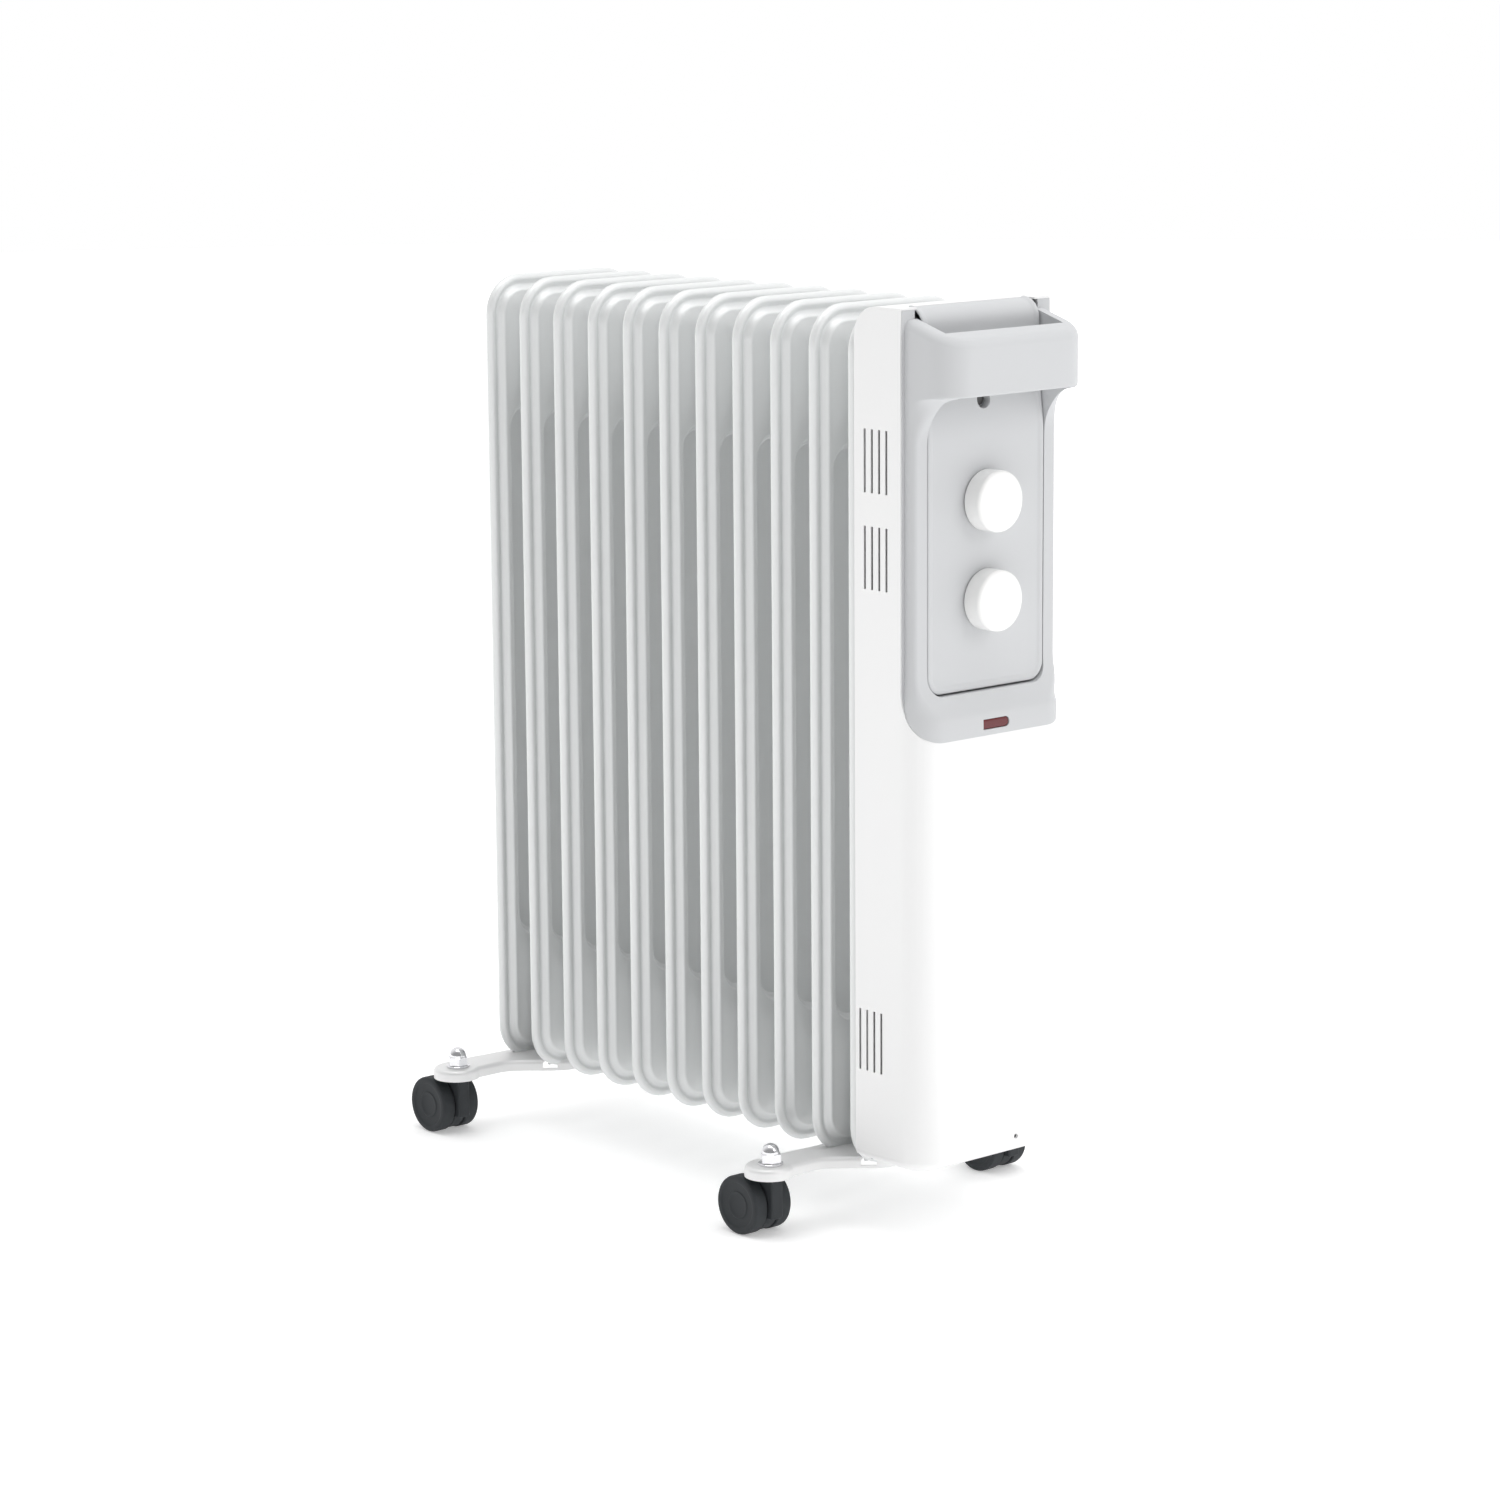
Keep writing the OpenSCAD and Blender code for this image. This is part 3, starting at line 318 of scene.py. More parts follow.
def arc(centre: Tuple[float, float], radius: float, start: float, end: float,
        steps: int) -> List[Tuple[float, float]]:
    """Points along an arc, its ends included.

    Args:
        centre: Middle of the arc.
        radius: Its radius.
        start: First angle in degrees.
        end: Last angle in degrees.
        steps: Number of stretches.

    Returns:
        The points.
    """
    turns = [math.radians(between(start, end, k / steps)) for k in range(steps + 1)]
    return [(centre[0] + radius * math.cos(a), centre[1] + radius * math.sin(a)) for a in turns]


def round_rect(half_w: float, half_h: float, radius: float, steps: int = 8, cuts: int = 1) -> List[Tuple[float, float]]:
    """Outline of a centred rectangle with round corners.

    Args:
        half_w: Half its width.
        half_h: Half its height.
        radius: Corner radius.
        steps: Stretches in each corner.
        cuts: Stretches along the top and the bottom edge.

    Returns:
        The points, always the same number for the same steps and cuts.
    """
    w, h = half_w - radius, half_h - radius
    corners = [arc((w, h), radius, 0, 90, steps), arc((-w, h), radius, 90, 180, steps),
               arc((-w, -h), radius, 180, 270, steps), arc((w, -h), radius, 270, 360, steps)]
    top = [(between(w, -w, k / cuts), half_h) for k in range(1, cuts)]
    bottom = [(between(-w, w, k / cuts), -half_h) for k in range(1, cuts)]
    return corners[0] + top + corners[1] + corners[2] + bottom + corners[3]


class Cut(Enum):
    """How a second shape changes the first."""

    AWAY = "DIFFERENCE"
    KEEP = "INTERSECT"


class Form:
    """A mesh being shaped with mesh operators."""

    def __init__(self) -> None:
        """Starts empty."""
        self.bm = bmesh.new()

    def copy(self) -> "Form":
        """A second form with the same mesh."""
        twin = Form()
        twin.bm = self.bm.copy()
        return twin

    def ring(self, points: Iterable[Point]) -> List[bmesh.types.BMEdge]:
        """Closed loop of edges through the points."""
        verts = [self.bm.verts.new(p) for p in points]
        return [self.bm.edges.new((verts[k - 1], verts[k])) for k in range(len(verts))]

    def loft(self, rings: Sequence[Sequence[Point]], first: bool = True, last: bool = True) -> "Form":
        """Grows a skin from ring to ring.

        Args:
            rings: Rings with the same number of points.
            first: Whether the first ring gets a face.
            last: Whether the last ring gets a face.

        Returns:
            The form itself.
        """
        edges = self.ring(rings[0])
        verts = [edge.verts[1] for edge in edges]
        start = edges
        for points in rings[1:]:
            grown = bmesh.ops.extrude_edge_only(self.bm, edges=edges)["geom"]
            fresh = {part for part in grown if isinstance(part, bmesh.types.BMVert)}
            edges = [part for part in grown if isinstance(part, bmesh.types.BMEdge)]
            verts = [next(e.other_vert(v) for e in v.link_edges if e.other_vert(v) in fresh) for v in verts]
            for vert, point in zip(verts, points):
                vert.co = point
        for wanted, loop in ((first, start), (last, edges)):
            if wanted:
                bmesh.ops.contextual_create(self.bm, geom=loop)
        return self

    def join(self, other: "Form") -> "Form":
        """Takes over another form's mesh."""
        mesh = bpy.data.meshes.new("joined")
        other.bm.to_mesh(mesh)
        self.bm.from_mesh(mesh)
        bpy.data.meshes.remove(mesh)
        other.bm.free()
        return self

    def lathe(self, profile: Sequence[Tuple[float, float]], centre: Point, axis: Point, steps: int = 48) -> "Form":
        """Spins a profile round an axis.

        Args:
            profile: Radius and distance along the axis of each point.
            centre: A point on the axis.
            axis: Its direction.
            steps: Stretches round the axis.

        Returns:
            The form itself.
        """
        along = Vector(axis).normalized()
        side = along.orthogonal().normalized()
        verts = [self.bm.verts.new(Vector(centre) + side * r + along * a) for r, a in profile]
        edges = [self.bm.edges.new(pair) for pair in zip(verts, verts[1:])]
        bmesh.ops.spin(self.bm, geom=verts + edges, cent=centre, axis=along, angle=math.tau, steps=steps,
                       use_merge=True)
        return self

    def prism(self, outline: Sequence[Point], lift: Point) -> "Form":
        """Closes an outline and pushes it along a vector."""
        edges = self.ring(outline)
        face = bmesh.ops.contextual_create(self.bm, geom=edges)["faces"]
        grown = bmesh.ops.extrude_face_region(self.bm, geom=face, use_keep_orig=True)["geom"]
        moved = [part for part in grown if isinstance(part, bmesh.types.BMVert)]
        bmesh.ops.translate(self.bm, verts=moved, vec=lift)
        return self

    def block(self, low: Point, high: Point, round_off: float = 0.0, steps: int = 3) -> "Form":
        """Box between two corners, with its edges rounded."""
        low, high = Vector(low), Vector(high)
        place = Matrix.Translation((low + high) / 2) @ Matrix.Diagonal((*(high - low), 1.0))
        made = bmesh.ops.create_cube(self.bm, size=1.0, matrix=place)["verts"]
        if round_off > 0:
            edges = list({edge for vert in made for edge in vert.link_edges})
            self.bevel(edges, round_off, steps)
        return self

    def bevel(self, edges: Sequence[bmesh.types.BMEdge], width: float, steps: int) -> "Form":
        """Rounds edges."""
        bmesh.ops.bevel(self.bm, geom=list(edges), offset=width, offset_type="OFFSET", segments=steps,
                        profile=0.5, affect="EDGES", material=-1, clamp_overlap=True)
        return self

    def edges_where(self, test: Callable[[Vector, Vector], bool]) -> List[bmesh.types.BMEdge]:
        """Edges whose two ends pass a test."""
        return [edge for edge in self.bm.edges if test(edge.verts[0].co, edge.verts[1].co)]

    def shift(self, by: Point) -> "Form":
        """Moves the whole form."""
        bmesh.ops.translate(self.bm, verts=self.bm.verts, vec=by)
        return self

    def mirror(self, axis: int, at: float = 0.0) -> "Form":
        """Adds the mirror image across a plane square to an axis."""
        flip = Matrix.Diagonal([-1.0 if k == axis else 1.0 for k in range(3)]).to_4x4()
        there = Vector([2 * at if k == axis else 0.0 for k in range(3)])
        twin = bmesh.ops.duplicate(self.bm, geom=self.bm.verts[:] + self.bm.edges[:] + self.bm.faces[:])["geom"]
        verts = [part for part in twin if isinstance(part, bmesh.types.BMVert)]
        faces = [part for part in twin if isinstance(part, bmesh.types.BMFace)]
        bmesh.ops.transform(self.bm, matrix=Matrix.Translation(there) @ flip, verts=verts)
        bmesh.ops.reverse_faces(self.bm, faces=faces)
        return self

    def clean(self) -> "Form":
        """Merges doubles and turns every face outwards."""
        bmesh.ops.remove_doubles(self.bm, verts=self.bm.verts, dist=0.01 * MM)
        bmesh.ops.recalc_face_normals(self.bm, faces=self.bm.faces)
        return self

    def thicken(self, wall: float) -> "Form":
        """Gives an open shell a wall on its inner side."""
        self.clean()
        bmesh.ops.solidify(self.bm, geom=self.bm.faces[:], thickness=wall)
        bmesh.ops.recalc_face_normals(self.bm, faces=self.bm.faces)
        return self

    def stand_in(self, name: str) -> bpy.types.Object:
        """A scene object with the form's mesh."""
        mesh = bpy.data.meshes.new(name)
        self.bm.to_mesh(mesh)
        made = bpy.data.objects.new(name, mesh)
        bpy.context.scene.collection.objects.link(made)
        return made

    def carve(self, *cuts: Tuple[Cut, "Form"]) -> "Form":
        """Cuts the form with others.

        Args:
            cuts: How each other form changes this one, and that form.

        Returns:
            The form itself.
        """
        body = self.clean().stand_in("work")
        tools = [tool.clean().stand_in("tool") for _, tool in cuts]
        for (how, _), tool in zip(cuts, tools):
            cut = body.modifiers.new("cut", "BOOLEAN")
            cut.operation = how.value
            cut.solver = "EXACT"
            cut.object = tool
        shaped = body.evaluated_get(bpy.context.evaluated_depsgraph_get())
        mesh = bpy.data.meshes.new_from_object(shaped)
        self.bm.clear()
        self.bm.from_mesh(mesh)
        for spent in (body, *tools):
            data = spent.data
            bpy.data.objects.remove(spent)
            bpy.data.meshes.remove(data)
        bpy.data.meshes.remove(mesh)
        return self

    def piece(self, name: str, slot: Slot, body: str, *nodes: str, crease: float = 35.0,
              edge: float = 0.0) -> bpy.types.Object:
        """Turns the form into a finished piece.

        Args:
            name: The piece's name.
            slot: Its finish.
            body: The CAD body that it rides on.
            nodes: CAD nodes that it stands for.
            crease: Edges sharper than this many degrees stay sharp.
            edge: Width of the small round on its edges.

        Returns:
            The piece's object.
        """
        made = self.clean().stand_in(name)
        made.data.polygons.foreach_set("use_smooth", [True] * len(made.data.polygons))
        made.data.set_sharp_from_angle(angle=math.radians(crease))
        made.data.materials.append(slot.material())
        if edge > 0:
            soften = made.modifiers.new("soft edges", "BEVEL")
            soften.width = edge
            soften.segments = 2
            soften.limit_method = "ANGLE"
            soften.angle_limit = math.radians(crease)
        flatten = made.modifiers.new("flat faces keep their shade", "WEIGHTED_NORMAL")
        flatten.keep_sharp = True
        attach(made, body)
        if nodes:
            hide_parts(*nodes)
        log.info("%s: %d faces on %s", name, len(made.data.polygons), body)
        self.bm.free()
        return made


@dataclass(frozen=True)
class Span:
    """The box of a CAD node."""

    low: Vector
    high: Vector

    @classmethod
    def of(cls, node: str) -> "Span":
        """Box of a node at rest."""
        return cls(*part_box(node))

    @property
    def mid(self) -> Vector:
        """Middle of the box."""
        return (self.low + self.high) / 2

    @property
    def size(self) -> Vector:
        """Lengths of the box's sides."""
        return self.high - self.low


# ---------- radiator block ----------


@dataclass
class FinStack:
    """Eleven pressed fins, welded at their hubs."""

    corner_r: float = 28 * MM
    hem_r: float = 3.5 * MM
    valley_half: float = 2.1 * MM
    ridge_half: float = 6.4 * MM
    header_half: float = 8 * MM
    web_half: float = 1 * MM
    ridge_inset: float = 12.8 * MM
    web_inset: float = 13.6 * MM
    web_r: float = 18 * MM
    header_h: float = 92 * MM
    hub_inset: float = 63 * MM
    hub_reach: float = 44 * MM
    hub_rise: float = 4.6 * MM
    neck_r: float = 17 * MM

    def __post_init__(self) -> None:
        """Reads the fins' size from the frame."""
        one, two = Span.of("fin_05"), Span.of("fin_06")
        self.pitch = two.mid.x - one.mid.x
        self.half_w = one.size.y / 2
        self.half_h = one.size.z / 2
        self.mid_z = one.mid.z
        self.hub_z = self.half_h - self.hub_inset

    def rim_half(self, inset: float) -> float:
        """Half thickness of the rim at a distance from the fin's edge."""
        r = self.hem_r
        if inset < r:
            return math.sqrt(r * r - (r - inset) ** 2)
        valley = between(r, self.valley_half, ease((inset - 4.0 * MM) / (2.8 * MM)))
        return between(valley, self.ridge_half, ease((inset - 7.2 * MM) / (4.4 * MM)))

    def header_rise(self, y: float, z: float) -> float:
        """Half thickness in the header areas, bulged round the hubs."""
        past_web = abs(z) - (self.half_h - self.header_h)
        edge = min(self.half_w - self.ridge_inset - abs(y), self.half_h - self.ridge_inset - abs(z))
        swell = (self.header_half - self.ridge_half) * ease(past_web / (14 * MM)) * ease(edge / (12 * MM))
        reach = math.hypot(y, abs(z) - self.hub_z)
        boss = 1 - ease((reach - 20 * MM) / (self.hub_reach - 20 * MM))
        return self.ridge_half + swell + self.hub_rise * boss * ease(past_web / (16 * MM))

    def level(self, inset: float, half: float) -> List[Point]:
        """One ring round the fin, drawn in from its edge and raised."""
        outline = round_rect(self.half_w - inset, self.half_h - inset, self.corner_r - inset, cuts=24)
        return [(half, y, z) for y, z in outline]

    def web_ring(self, inset: float) -> List[Tuple[float, float]]:
        """One ring round the recess, drawn in from its edge."""
        return round_rect(self.half_w - self.web_inset - inset, self.half_h - self.header_h - inset,
                          self.web_r - inset, cuts=24)

    def face(self) -> Form:
        """One pressed half of a fin, from its rim to the web."""
        insets = [self.hem_r * (1 - math.cos(math.radians(a))) for a in (0, 22, 44, 60, 74, 90)]
        insets += [k * MM for k in (4.2, 4.9, 5.6, 6.3, 7.0, 7.7, 8.4, 9.1, 9.8, 10.5, 11.2, 12.0)]
        rings = [self.level(inset, self.rim_half(inset)) for inset in insets]
        inset = self.ridge_inset
        outer = round_rect(self.half_w - inset, self.half_h - inset, self.corner_r - inset, cuts=24)
        inner = self.web_ring(0)
        steps = 20
        for k in range(steps + 1):
            ring = [(between(a[0], b[0], k / steps), between(a[1], b[1], k / steps))
                    for a, b in zip(outer, inner)]
            rings.append([(self.header_rise(y, z), y, z) for y, z in ring])
        for inset, share in ((0.8, 0.03), (1.6, 0.14), (2.5, 0.36), (3.5, 0.66), (4.3, 0.87), (4.9, 0.97), (5.5, 1.0),
                             (7.0, 1.0)):
            half = between(self.ridge_half, self.web_half, share)
            rings.append([(half, y, z) for y, z in self.web_ring(inset * MM)])
        return Form().loft(rings, first=False)

    def oil_half(self) -> Form:
        """Half of the oil in one fin, inside the pressing."""
        gap = 1.3 * MM
        top = self.ridge_half - gap
        edge = 11.8 * MM
        shape = round_rect(self.half_w - edge, self.half_h - edge, self.corner_r - edge, cuts=24)
        inner = self.web_ring(0.8 * MM)
        rings = [[(0, y, z) for y, z in shape], [(top, y, z) for y, z in shape]]
        steps = 12
        for k in range(1, steps + 1):
            ring = [(between(a[0], b[0], k / steps), between(a[1], b[1], k / steps))
                    for a, b in zip(shape, inner)]
            rings.append([(self.header_rise(y, z) - gap, y, z) for y, z in ring])
        rings.append([(0, y, z) for y, z in inner])
        return Form().loft(rings, first=False, last=False)

    def oil(self, first_x: float) -> None:
        """Makes the oil charge up to its cold level."""
        half = self.oil_half()
        half.mirror(0)
        charge = Form()
        for k in range(FIN_COUNT):
            charge.join(half.copy().shift((first_x + k * self.pitch, 0, self.mid_z)))
        level = Span.of("oil_charge").high.z
        bmesh.ops.remove_doubles(charge.bm, verts=charge.bm.verts, dist=0.01 * MM)
        cut = bmesh.ops.bisect_plane(charge.bm, geom=charge.bm.verts[:] + charge.bm.edges[:] + charge.bm.faces[:],
                                     plane_co=(0, 0, level), plane_no=(0, 0, 1), clear_outer=True)["geom_cut"]
        rim = [part for part in cut if isinstance(part, bmesh.types.BMEdge)]
        bmesh.ops.holes_fill(charge.bm, edges=rim)
        last_x = first_x + (FIN_COUNT - 1) * self.pitch
        for z, bore in ((-self.hub_z, 11 * MM), (self.hub_z, 4 * MM)):
            r = 14.2 * MM
            profile = [(bore, 0), (r, 0), (r, last_x - first_x), (bore, last_x - first_x), (bore, 0)]
            charge.lathe(profile, (first_x, 0, self.mid_z + z), (1, 0, 0), 32)
        charge.piece("oil_inside", Slot.OIL, ROOT, "oil_charge")

    def neck(self, form: Form, x: float, side: int, z: float, closed: bool) -> None:
        """Adds a hub: a neck that meets the next fin's, or a closed cap."""
        half_gap = self.pitch / 2
        if closed:
            profile = [(36 * MM, 7.5 * MM), (30 * MM, 10.4 * MM), (25.5 * MM, 12.5 * MM), (23 * MM, 13.6 * MM),
                       (20.5 * MM, 14 * MM), (0, 14 * MM)]
        else:
            bead = 0.9 * MM
            profile = [(31 * MM, 9.5 * MM), (26 * MM, 12.3 * MM), (22 * MM, 14.6 * MM), (19 * MM, 16.6 * MM),
                       (17.5 * MM, half_gap - 1.4 * MM), (self.neck_r + bead, half_gap - 0.7 * MM),
                       (self.neck_r + bead, half_gap)]
        form.lathe(profile, (x, 0, self.mid_z + z), (side, 0, 0), 44)

    def build(self) -> None:
        """Makes the eleven fins."""
        blank = self.face()
        blank.mirror(0)
        blank.clean()
        for k in range(FIN_COUNT):
            node = f"fin_{k + 1:02d}"
            x = Span.of("fin_05").mid.x + (k - 4) * self.pitch
            fin = blank.copy().shift((x, 0, self.mid_z))
            for side in (-1, 1):
                closed = not 0 <= k + side < FIN_COUNT
                for z in (-self.hub_z, self.hub_z):
                    self.neck(fin, x, side, z, closed)
            if k == FIN_COUNT - 1:
                self.boss(fin)
            fin.piece(f"{node}_pressing", Slot.FIN_PAINT, ROOT, node, crease=60)
        self.oil(Span.of("fin_05").mid.x - 4 * self.pitch)

    def boss(self, form: Form) -> None:
        """Adds the boss that holds the element's plug."""
        face = Span.of("element_gasket").low.x
        profile = [(17.2 * MM, 0), (22.4 * MM, 0), (23 * MM, -0.8 * MM), (23 * MM, -14 * MM), (17.2 * MM, -14 * MM),
                   (17.2 * MM, 0)]
        form.lathe(profile, (face, 0, self.mid_z - self.hub_z), (1, 0, 0), 44)


# ---------- housing ----------


@dataclass
class Housing:
    """White steel shell round the controls."""

    corner_r: float = 19.5 * MM
    back_r: float = 20 * MM
    floor_r: float = 7 * MM
    top_r: float = 9 * MM
    wall: float = 1.2 * MM
    seam_back: float = 19.2 * MM
    seam_z: float = 340 * MM
    seam_r: float = 40 * MM
    vent_w: float = 2 * MM
    vent_h: float = 42 * MM
    vent_pitch: float = 6.9 * MM

    def __post_init__(self) -> None:
        """Reads the shell's box from the frame."""
        self.span = Span.of("housing_shell")
        self.seam_x = self.span.high.x - self.seam_back

    def zone(self, clear: float) -> Form:
        """Everything in front of the fascia's seam, drawn in by a clearance."""
        far, top = self.seam_x + 60 * MM, self.span.high.z + 40 * MM
        bend = arc((self.seam_x + self.seam_r, self.seam_z + self.seam_r), self.seam_r - clear, 180, 270, 14)
        side = [(self.seam_x + clear, top), *bend, (far, self.seam_z + clear), (far, top)]
        return Form().prism([(x, -90 * MM, z) for x, z in side], (0, 180 * MM, 0))

    def skin(self) -> Form:
        """The shell's outer skin as a solid block with all its rounded edges."""
        low, high = self.span.low, self.span.high
        form = Form().block(low, high)

        def both(a: Vector, b: Vector, axis: int, at: float) -> bool:
            """Whether both ends of an edge lie at a place along an axis."""
            return abs(a[axis] - at) + abs(b[axis] - at) < 0.1 * MM

        form.bevel(form.edges_where(lambda a, b: both(a, b, 0, high.x) and abs(a.z - b.z) > MM), self.corner_r, 12)
        form.bevel(form.edges_where(lambda a, b: both(a, b, 0, low.x) and both(a, b, 2, high.z)), self.back_r, 10)
        form.bevel(form.edges_where(lambda a, b: both(a, b, 2, low.z) and not both(a, b, 0, low.x)),
                   self.floor_r, 6)
        sides = [edge for edge in form.edges_where(
            lambda a, b: (both(a, b, 1, low.y) or both(a, b, 1, high.y))
            and min(a.z, b.z) > high.z - self.back_r - 0.1 * MM) if edge.calc_face_angle(0) > 0.5]
        form.bevel(sides, self.top_r, 7)
        return form

    def inside(self, wall: float) -> Form:
        """The space within the skin, a wall away from it."""
        form = self.skin()
        size, centre = self.span.size, self.span.mid
        shrink = [(length - 2 * wall) / length for length in size]
        bmesh.ops.scale(form.bm, verts=form.bm.verts, vec=shrink, space=Matrix.Translation(-centre))
        return form

    def vents(self) -> Form:
        """Slots through both sides."""
        form = Form()
        groups = ((10.2 * MM, 508 * MM), (10.2 * MM, 444 * MM), (4.6 * MM, 117 * MM))
        for back, foot in groups:
            for k in range(4):
                x = self.span.low.x + back + k * self.vent_pitch
                form.block((x - self.vent_w / 2, -90 * MM, foot), (x + self.vent_w / 2, 90 * MM, foot + self.vent_h))
        return form

    def build(self) -> None:
        """Makes the shell."""
        low, high = self.span.low, self.span.high
        wall = self.wall
        back = Form().block((low.x - 20 * MM, low.y + wall, low.z + wall),
                            (low.x + 5 * MM, high.y - wall, high.z - self.back_r))
        notch = Form().block((203.3 * MM, -53.6 * MM, high.z - 10 * MM), (250 * MM, 53.6 * MM, high.z + 10 * MM))
        relief = Form().block((low.x - 5 * MM, low.y + wall, low.z - 5 * MM),
                              (172.2 * MM, high.y - wall, low.z + wall + 0.1 * MM))
        dimple = Form().lathe([(0, -3 * MM), (1.7 * MM, -3 * MM), (1.7 * MM, 0.2 * MM), (0, 1 * MM)],
                              (high.x - 0.8 * MM, 20.8 * MM, 65 * MM), (-1, 0, 0), 20)
        gland = Span.of("cord_gland").mid
        hole = Form().lathe([(0, -5 * MM), (7.1 * MM, -5 * MM), (7.1 * MM, 5 * MM), (0, 5 * MM)],
                            (gland.x, gland.y, low.z), (0, 0, 1), 32)
        shell = self.skin()
        shell.carve((Cut.AWAY, self.inside(wall)), (Cut.AWAY, back), (Cut.AWAY, relief), (Cut.AWAY, notch),
                    (Cut.AWAY, self.zone(0)), (Cut.AWAY, self.vents()), (Cut.AWAY, dimple), (Cut.AWAY, hole))
        shell.piece("housing_shell_painted", Slot.HOUSING_PAINT, ROOT, "housing_shell", edge=0.35 * MM)


# ---------- fascia, panel and controls ----------


@dataclass
class Fascia:
    """Grey moulding: lip, arms and handle bar in one."""

    arm_front: float = 221.6 * MM
    arm_half_w: float = 65 * MM
    arm_r: float = 3.2 * MM
    lip_front: float = 232.1 * MM
    lip_half_w: float = 68.5 * MM
    lip_r: float = 20.5 * MM
    flare_low: float = 360 * MM
    flare_high: float = 392 * MM
    bar_bottom: float = 574 * MM
    bar_back: float = 238.6 * MM
    bar_r: float = 21 * MM
    sweep_r: float = 32 * MM
    opening_half_w: float = 53.7 * MM
    opening_foot: float = 374.3 * MM
    opening_r: float = 12.3 * MM
    top_fillet: float = 6 * MM
    wall: float = 2.5 * MM
    back_x: float = 207.5 * MM

    def __post_init__(self) -> None:
        """Reads the moulding's box from the frame."""
        self.span = Span.of("control_fascia")
        self.front = self.span.high.x

    def top_at(self, x: float) -> float:
        """Height of the sloping top over a place along X."""
        return 611.6 * MM + (250 * MM - x) * 0.30

    def ring(self, front: float, half_w: float, radius: float, height: Callable[[float], float]) -> List[Point]:
        """Plan of the outer surface, closed along its back.

        Args:
            front: X of the front face.
            half_w: Half width.
            radius: Radius of the two front corners.
            height: Height of the ring over a place along X.

        Returns:
            The ring's points.
        """
        w, x = half_w - radius, front - radius
        plan = ([(self.back_x, half_w)] + arc((x, w), radius, 90, 0, 10) + arc((x, -w), radius, 0, -90, 10)
                + [(self.back_x, -half_w)])
        return [(px, py, height(px)) for px, py in plan]

    def skin(self, inset: float = 0.0) -> Form:
        """The outer surface as a closed block, from the lip up to the handle's top, drawn in by a wall."""
        rings = []

        def add(z: float, front: float, half_w: float, radius: float) -> None:
            """Adds one level ring."""
            rings.append(self.ring(front - inset, half_w - inset, max(radius - inset, 0.5 * MM), lambda x: z))

        for z in (336, 350):
            add(z * MM, self.lip_front, self.lip_half_w, self.lip_r)
        steps = 10
        for k in range(steps + 1):
            share = k / steps
            flare = (1 - share) ** 1.9
            rounding = 0.12 * ease(1 - share * 5)
            grow = min(flare, 1.0) - rounding * 0.2
            add(between(self.flare_low, self.flare_high, share), between(self.arm_front, self.lip_front, grow),
                between(self.arm_half_w, self.lip_half_w, grow), between(self.arm_r, self.lip_r, ease(grow)))
        add(self.bar_bottom - 1 * MM - self.sweep_r, self.arm_front, self.arm_half_w, self.arm_r)
        for turn in range(10, 90, 8):
            share = turn / 90
            add(self.bar_bottom - 1 * MM - self.sweep_r * (1 - math.sin(math.radians(turn))),
                self.front - self.sweep_r * math.cos(math.radians(turn)), self.arm_half_w,
                between(self.arm_r, self.bar_r, ease(share * 1.15)))
        add(self.bar_bottom - 0.6 * MM, self.front - 1.6 * MM, self.arm_half_w, self.bar_r - 0.5 * MM)
        add(self.bar_bottom + 0.2 * MM, self.front - 0.5 * MM, self.arm_half_w, self.bar_r)
        add(self.bar_bottom + 1.8 * MM, self.front, self.arm_half_w, self.bar_r)
        for turn in range(0, 91, 15):
            back = self.top_fillet * (1 - math.cos(math.radians(turn))) + inset
            drop = self.top_fillet * (1 - math.sin(math.radians(turn)))
            rings.append(self.ring(self.front - back, self.arm_half_w - back, self.bar_r - back,
                                   lambda x, d=drop: self.top_at(x) - d))
        return Form().loft(rings)

    def opening(self) -> Form:
        """Space of the control panel in front of the arms' roots, with round lower corners."""
        half_h = 150 * MM
        outline = round_rect(self.opening_half_w, half_h, self.opening_r)
        lift = self.opening_foot + half_h
        form = Form().prism([(200 * MM, y, z + lift) for y, z in outline], (80 * MM, 0, 0))
        form.carve((Cut.KEEP, Form().block((190 * MM, -90 * MM, 300 * MM), (290 * MM, 90 * MM, self.bar_bottom))))
        return form

    def well(self) -> Form:
        """Space behind the handle bar."""
        return Form().block((190 * MM, -self.opening_half_w, 500 * MM),
                            (self.bar_back, self.opening_half_w, 660 * MM))

    def window(self, grow: float = 0.0) -> Form:
        """The indicator's window through the lip: square at one end and round at the other."""
        lens = Span.of("indicator_lens")
        half_w, half_h = 12 * MM + grow, 3.5 * MM + grow
        bend = arc((half_w - half_h, 0), half_h, -90, 90, 12)
        outline = [(-half_w, half_h), (-half_w, -half_h), *bend]
        return Form().prism([(225 * MM, y, z + lens.mid.z) for y, z in outline], (12 * MM, 0, 0))

    def flange(self, housing: Housing) -> Form:
        """Band behind the seam that tucks into the white shell."""
        core = Form().block((190 * MM, -56 * MM, 330 * MM), (222 * MM, 56 * MM, 660 * MM))
        form = housing.zone(-3 * MM)
        form.carve((Cut.AWAY, housing.zone(0.5 * MM)), (Cut.KEEP, housing.inside(housing.wall + 0.05 * MM)),
                   (Cut.AWAY, core))
        return form

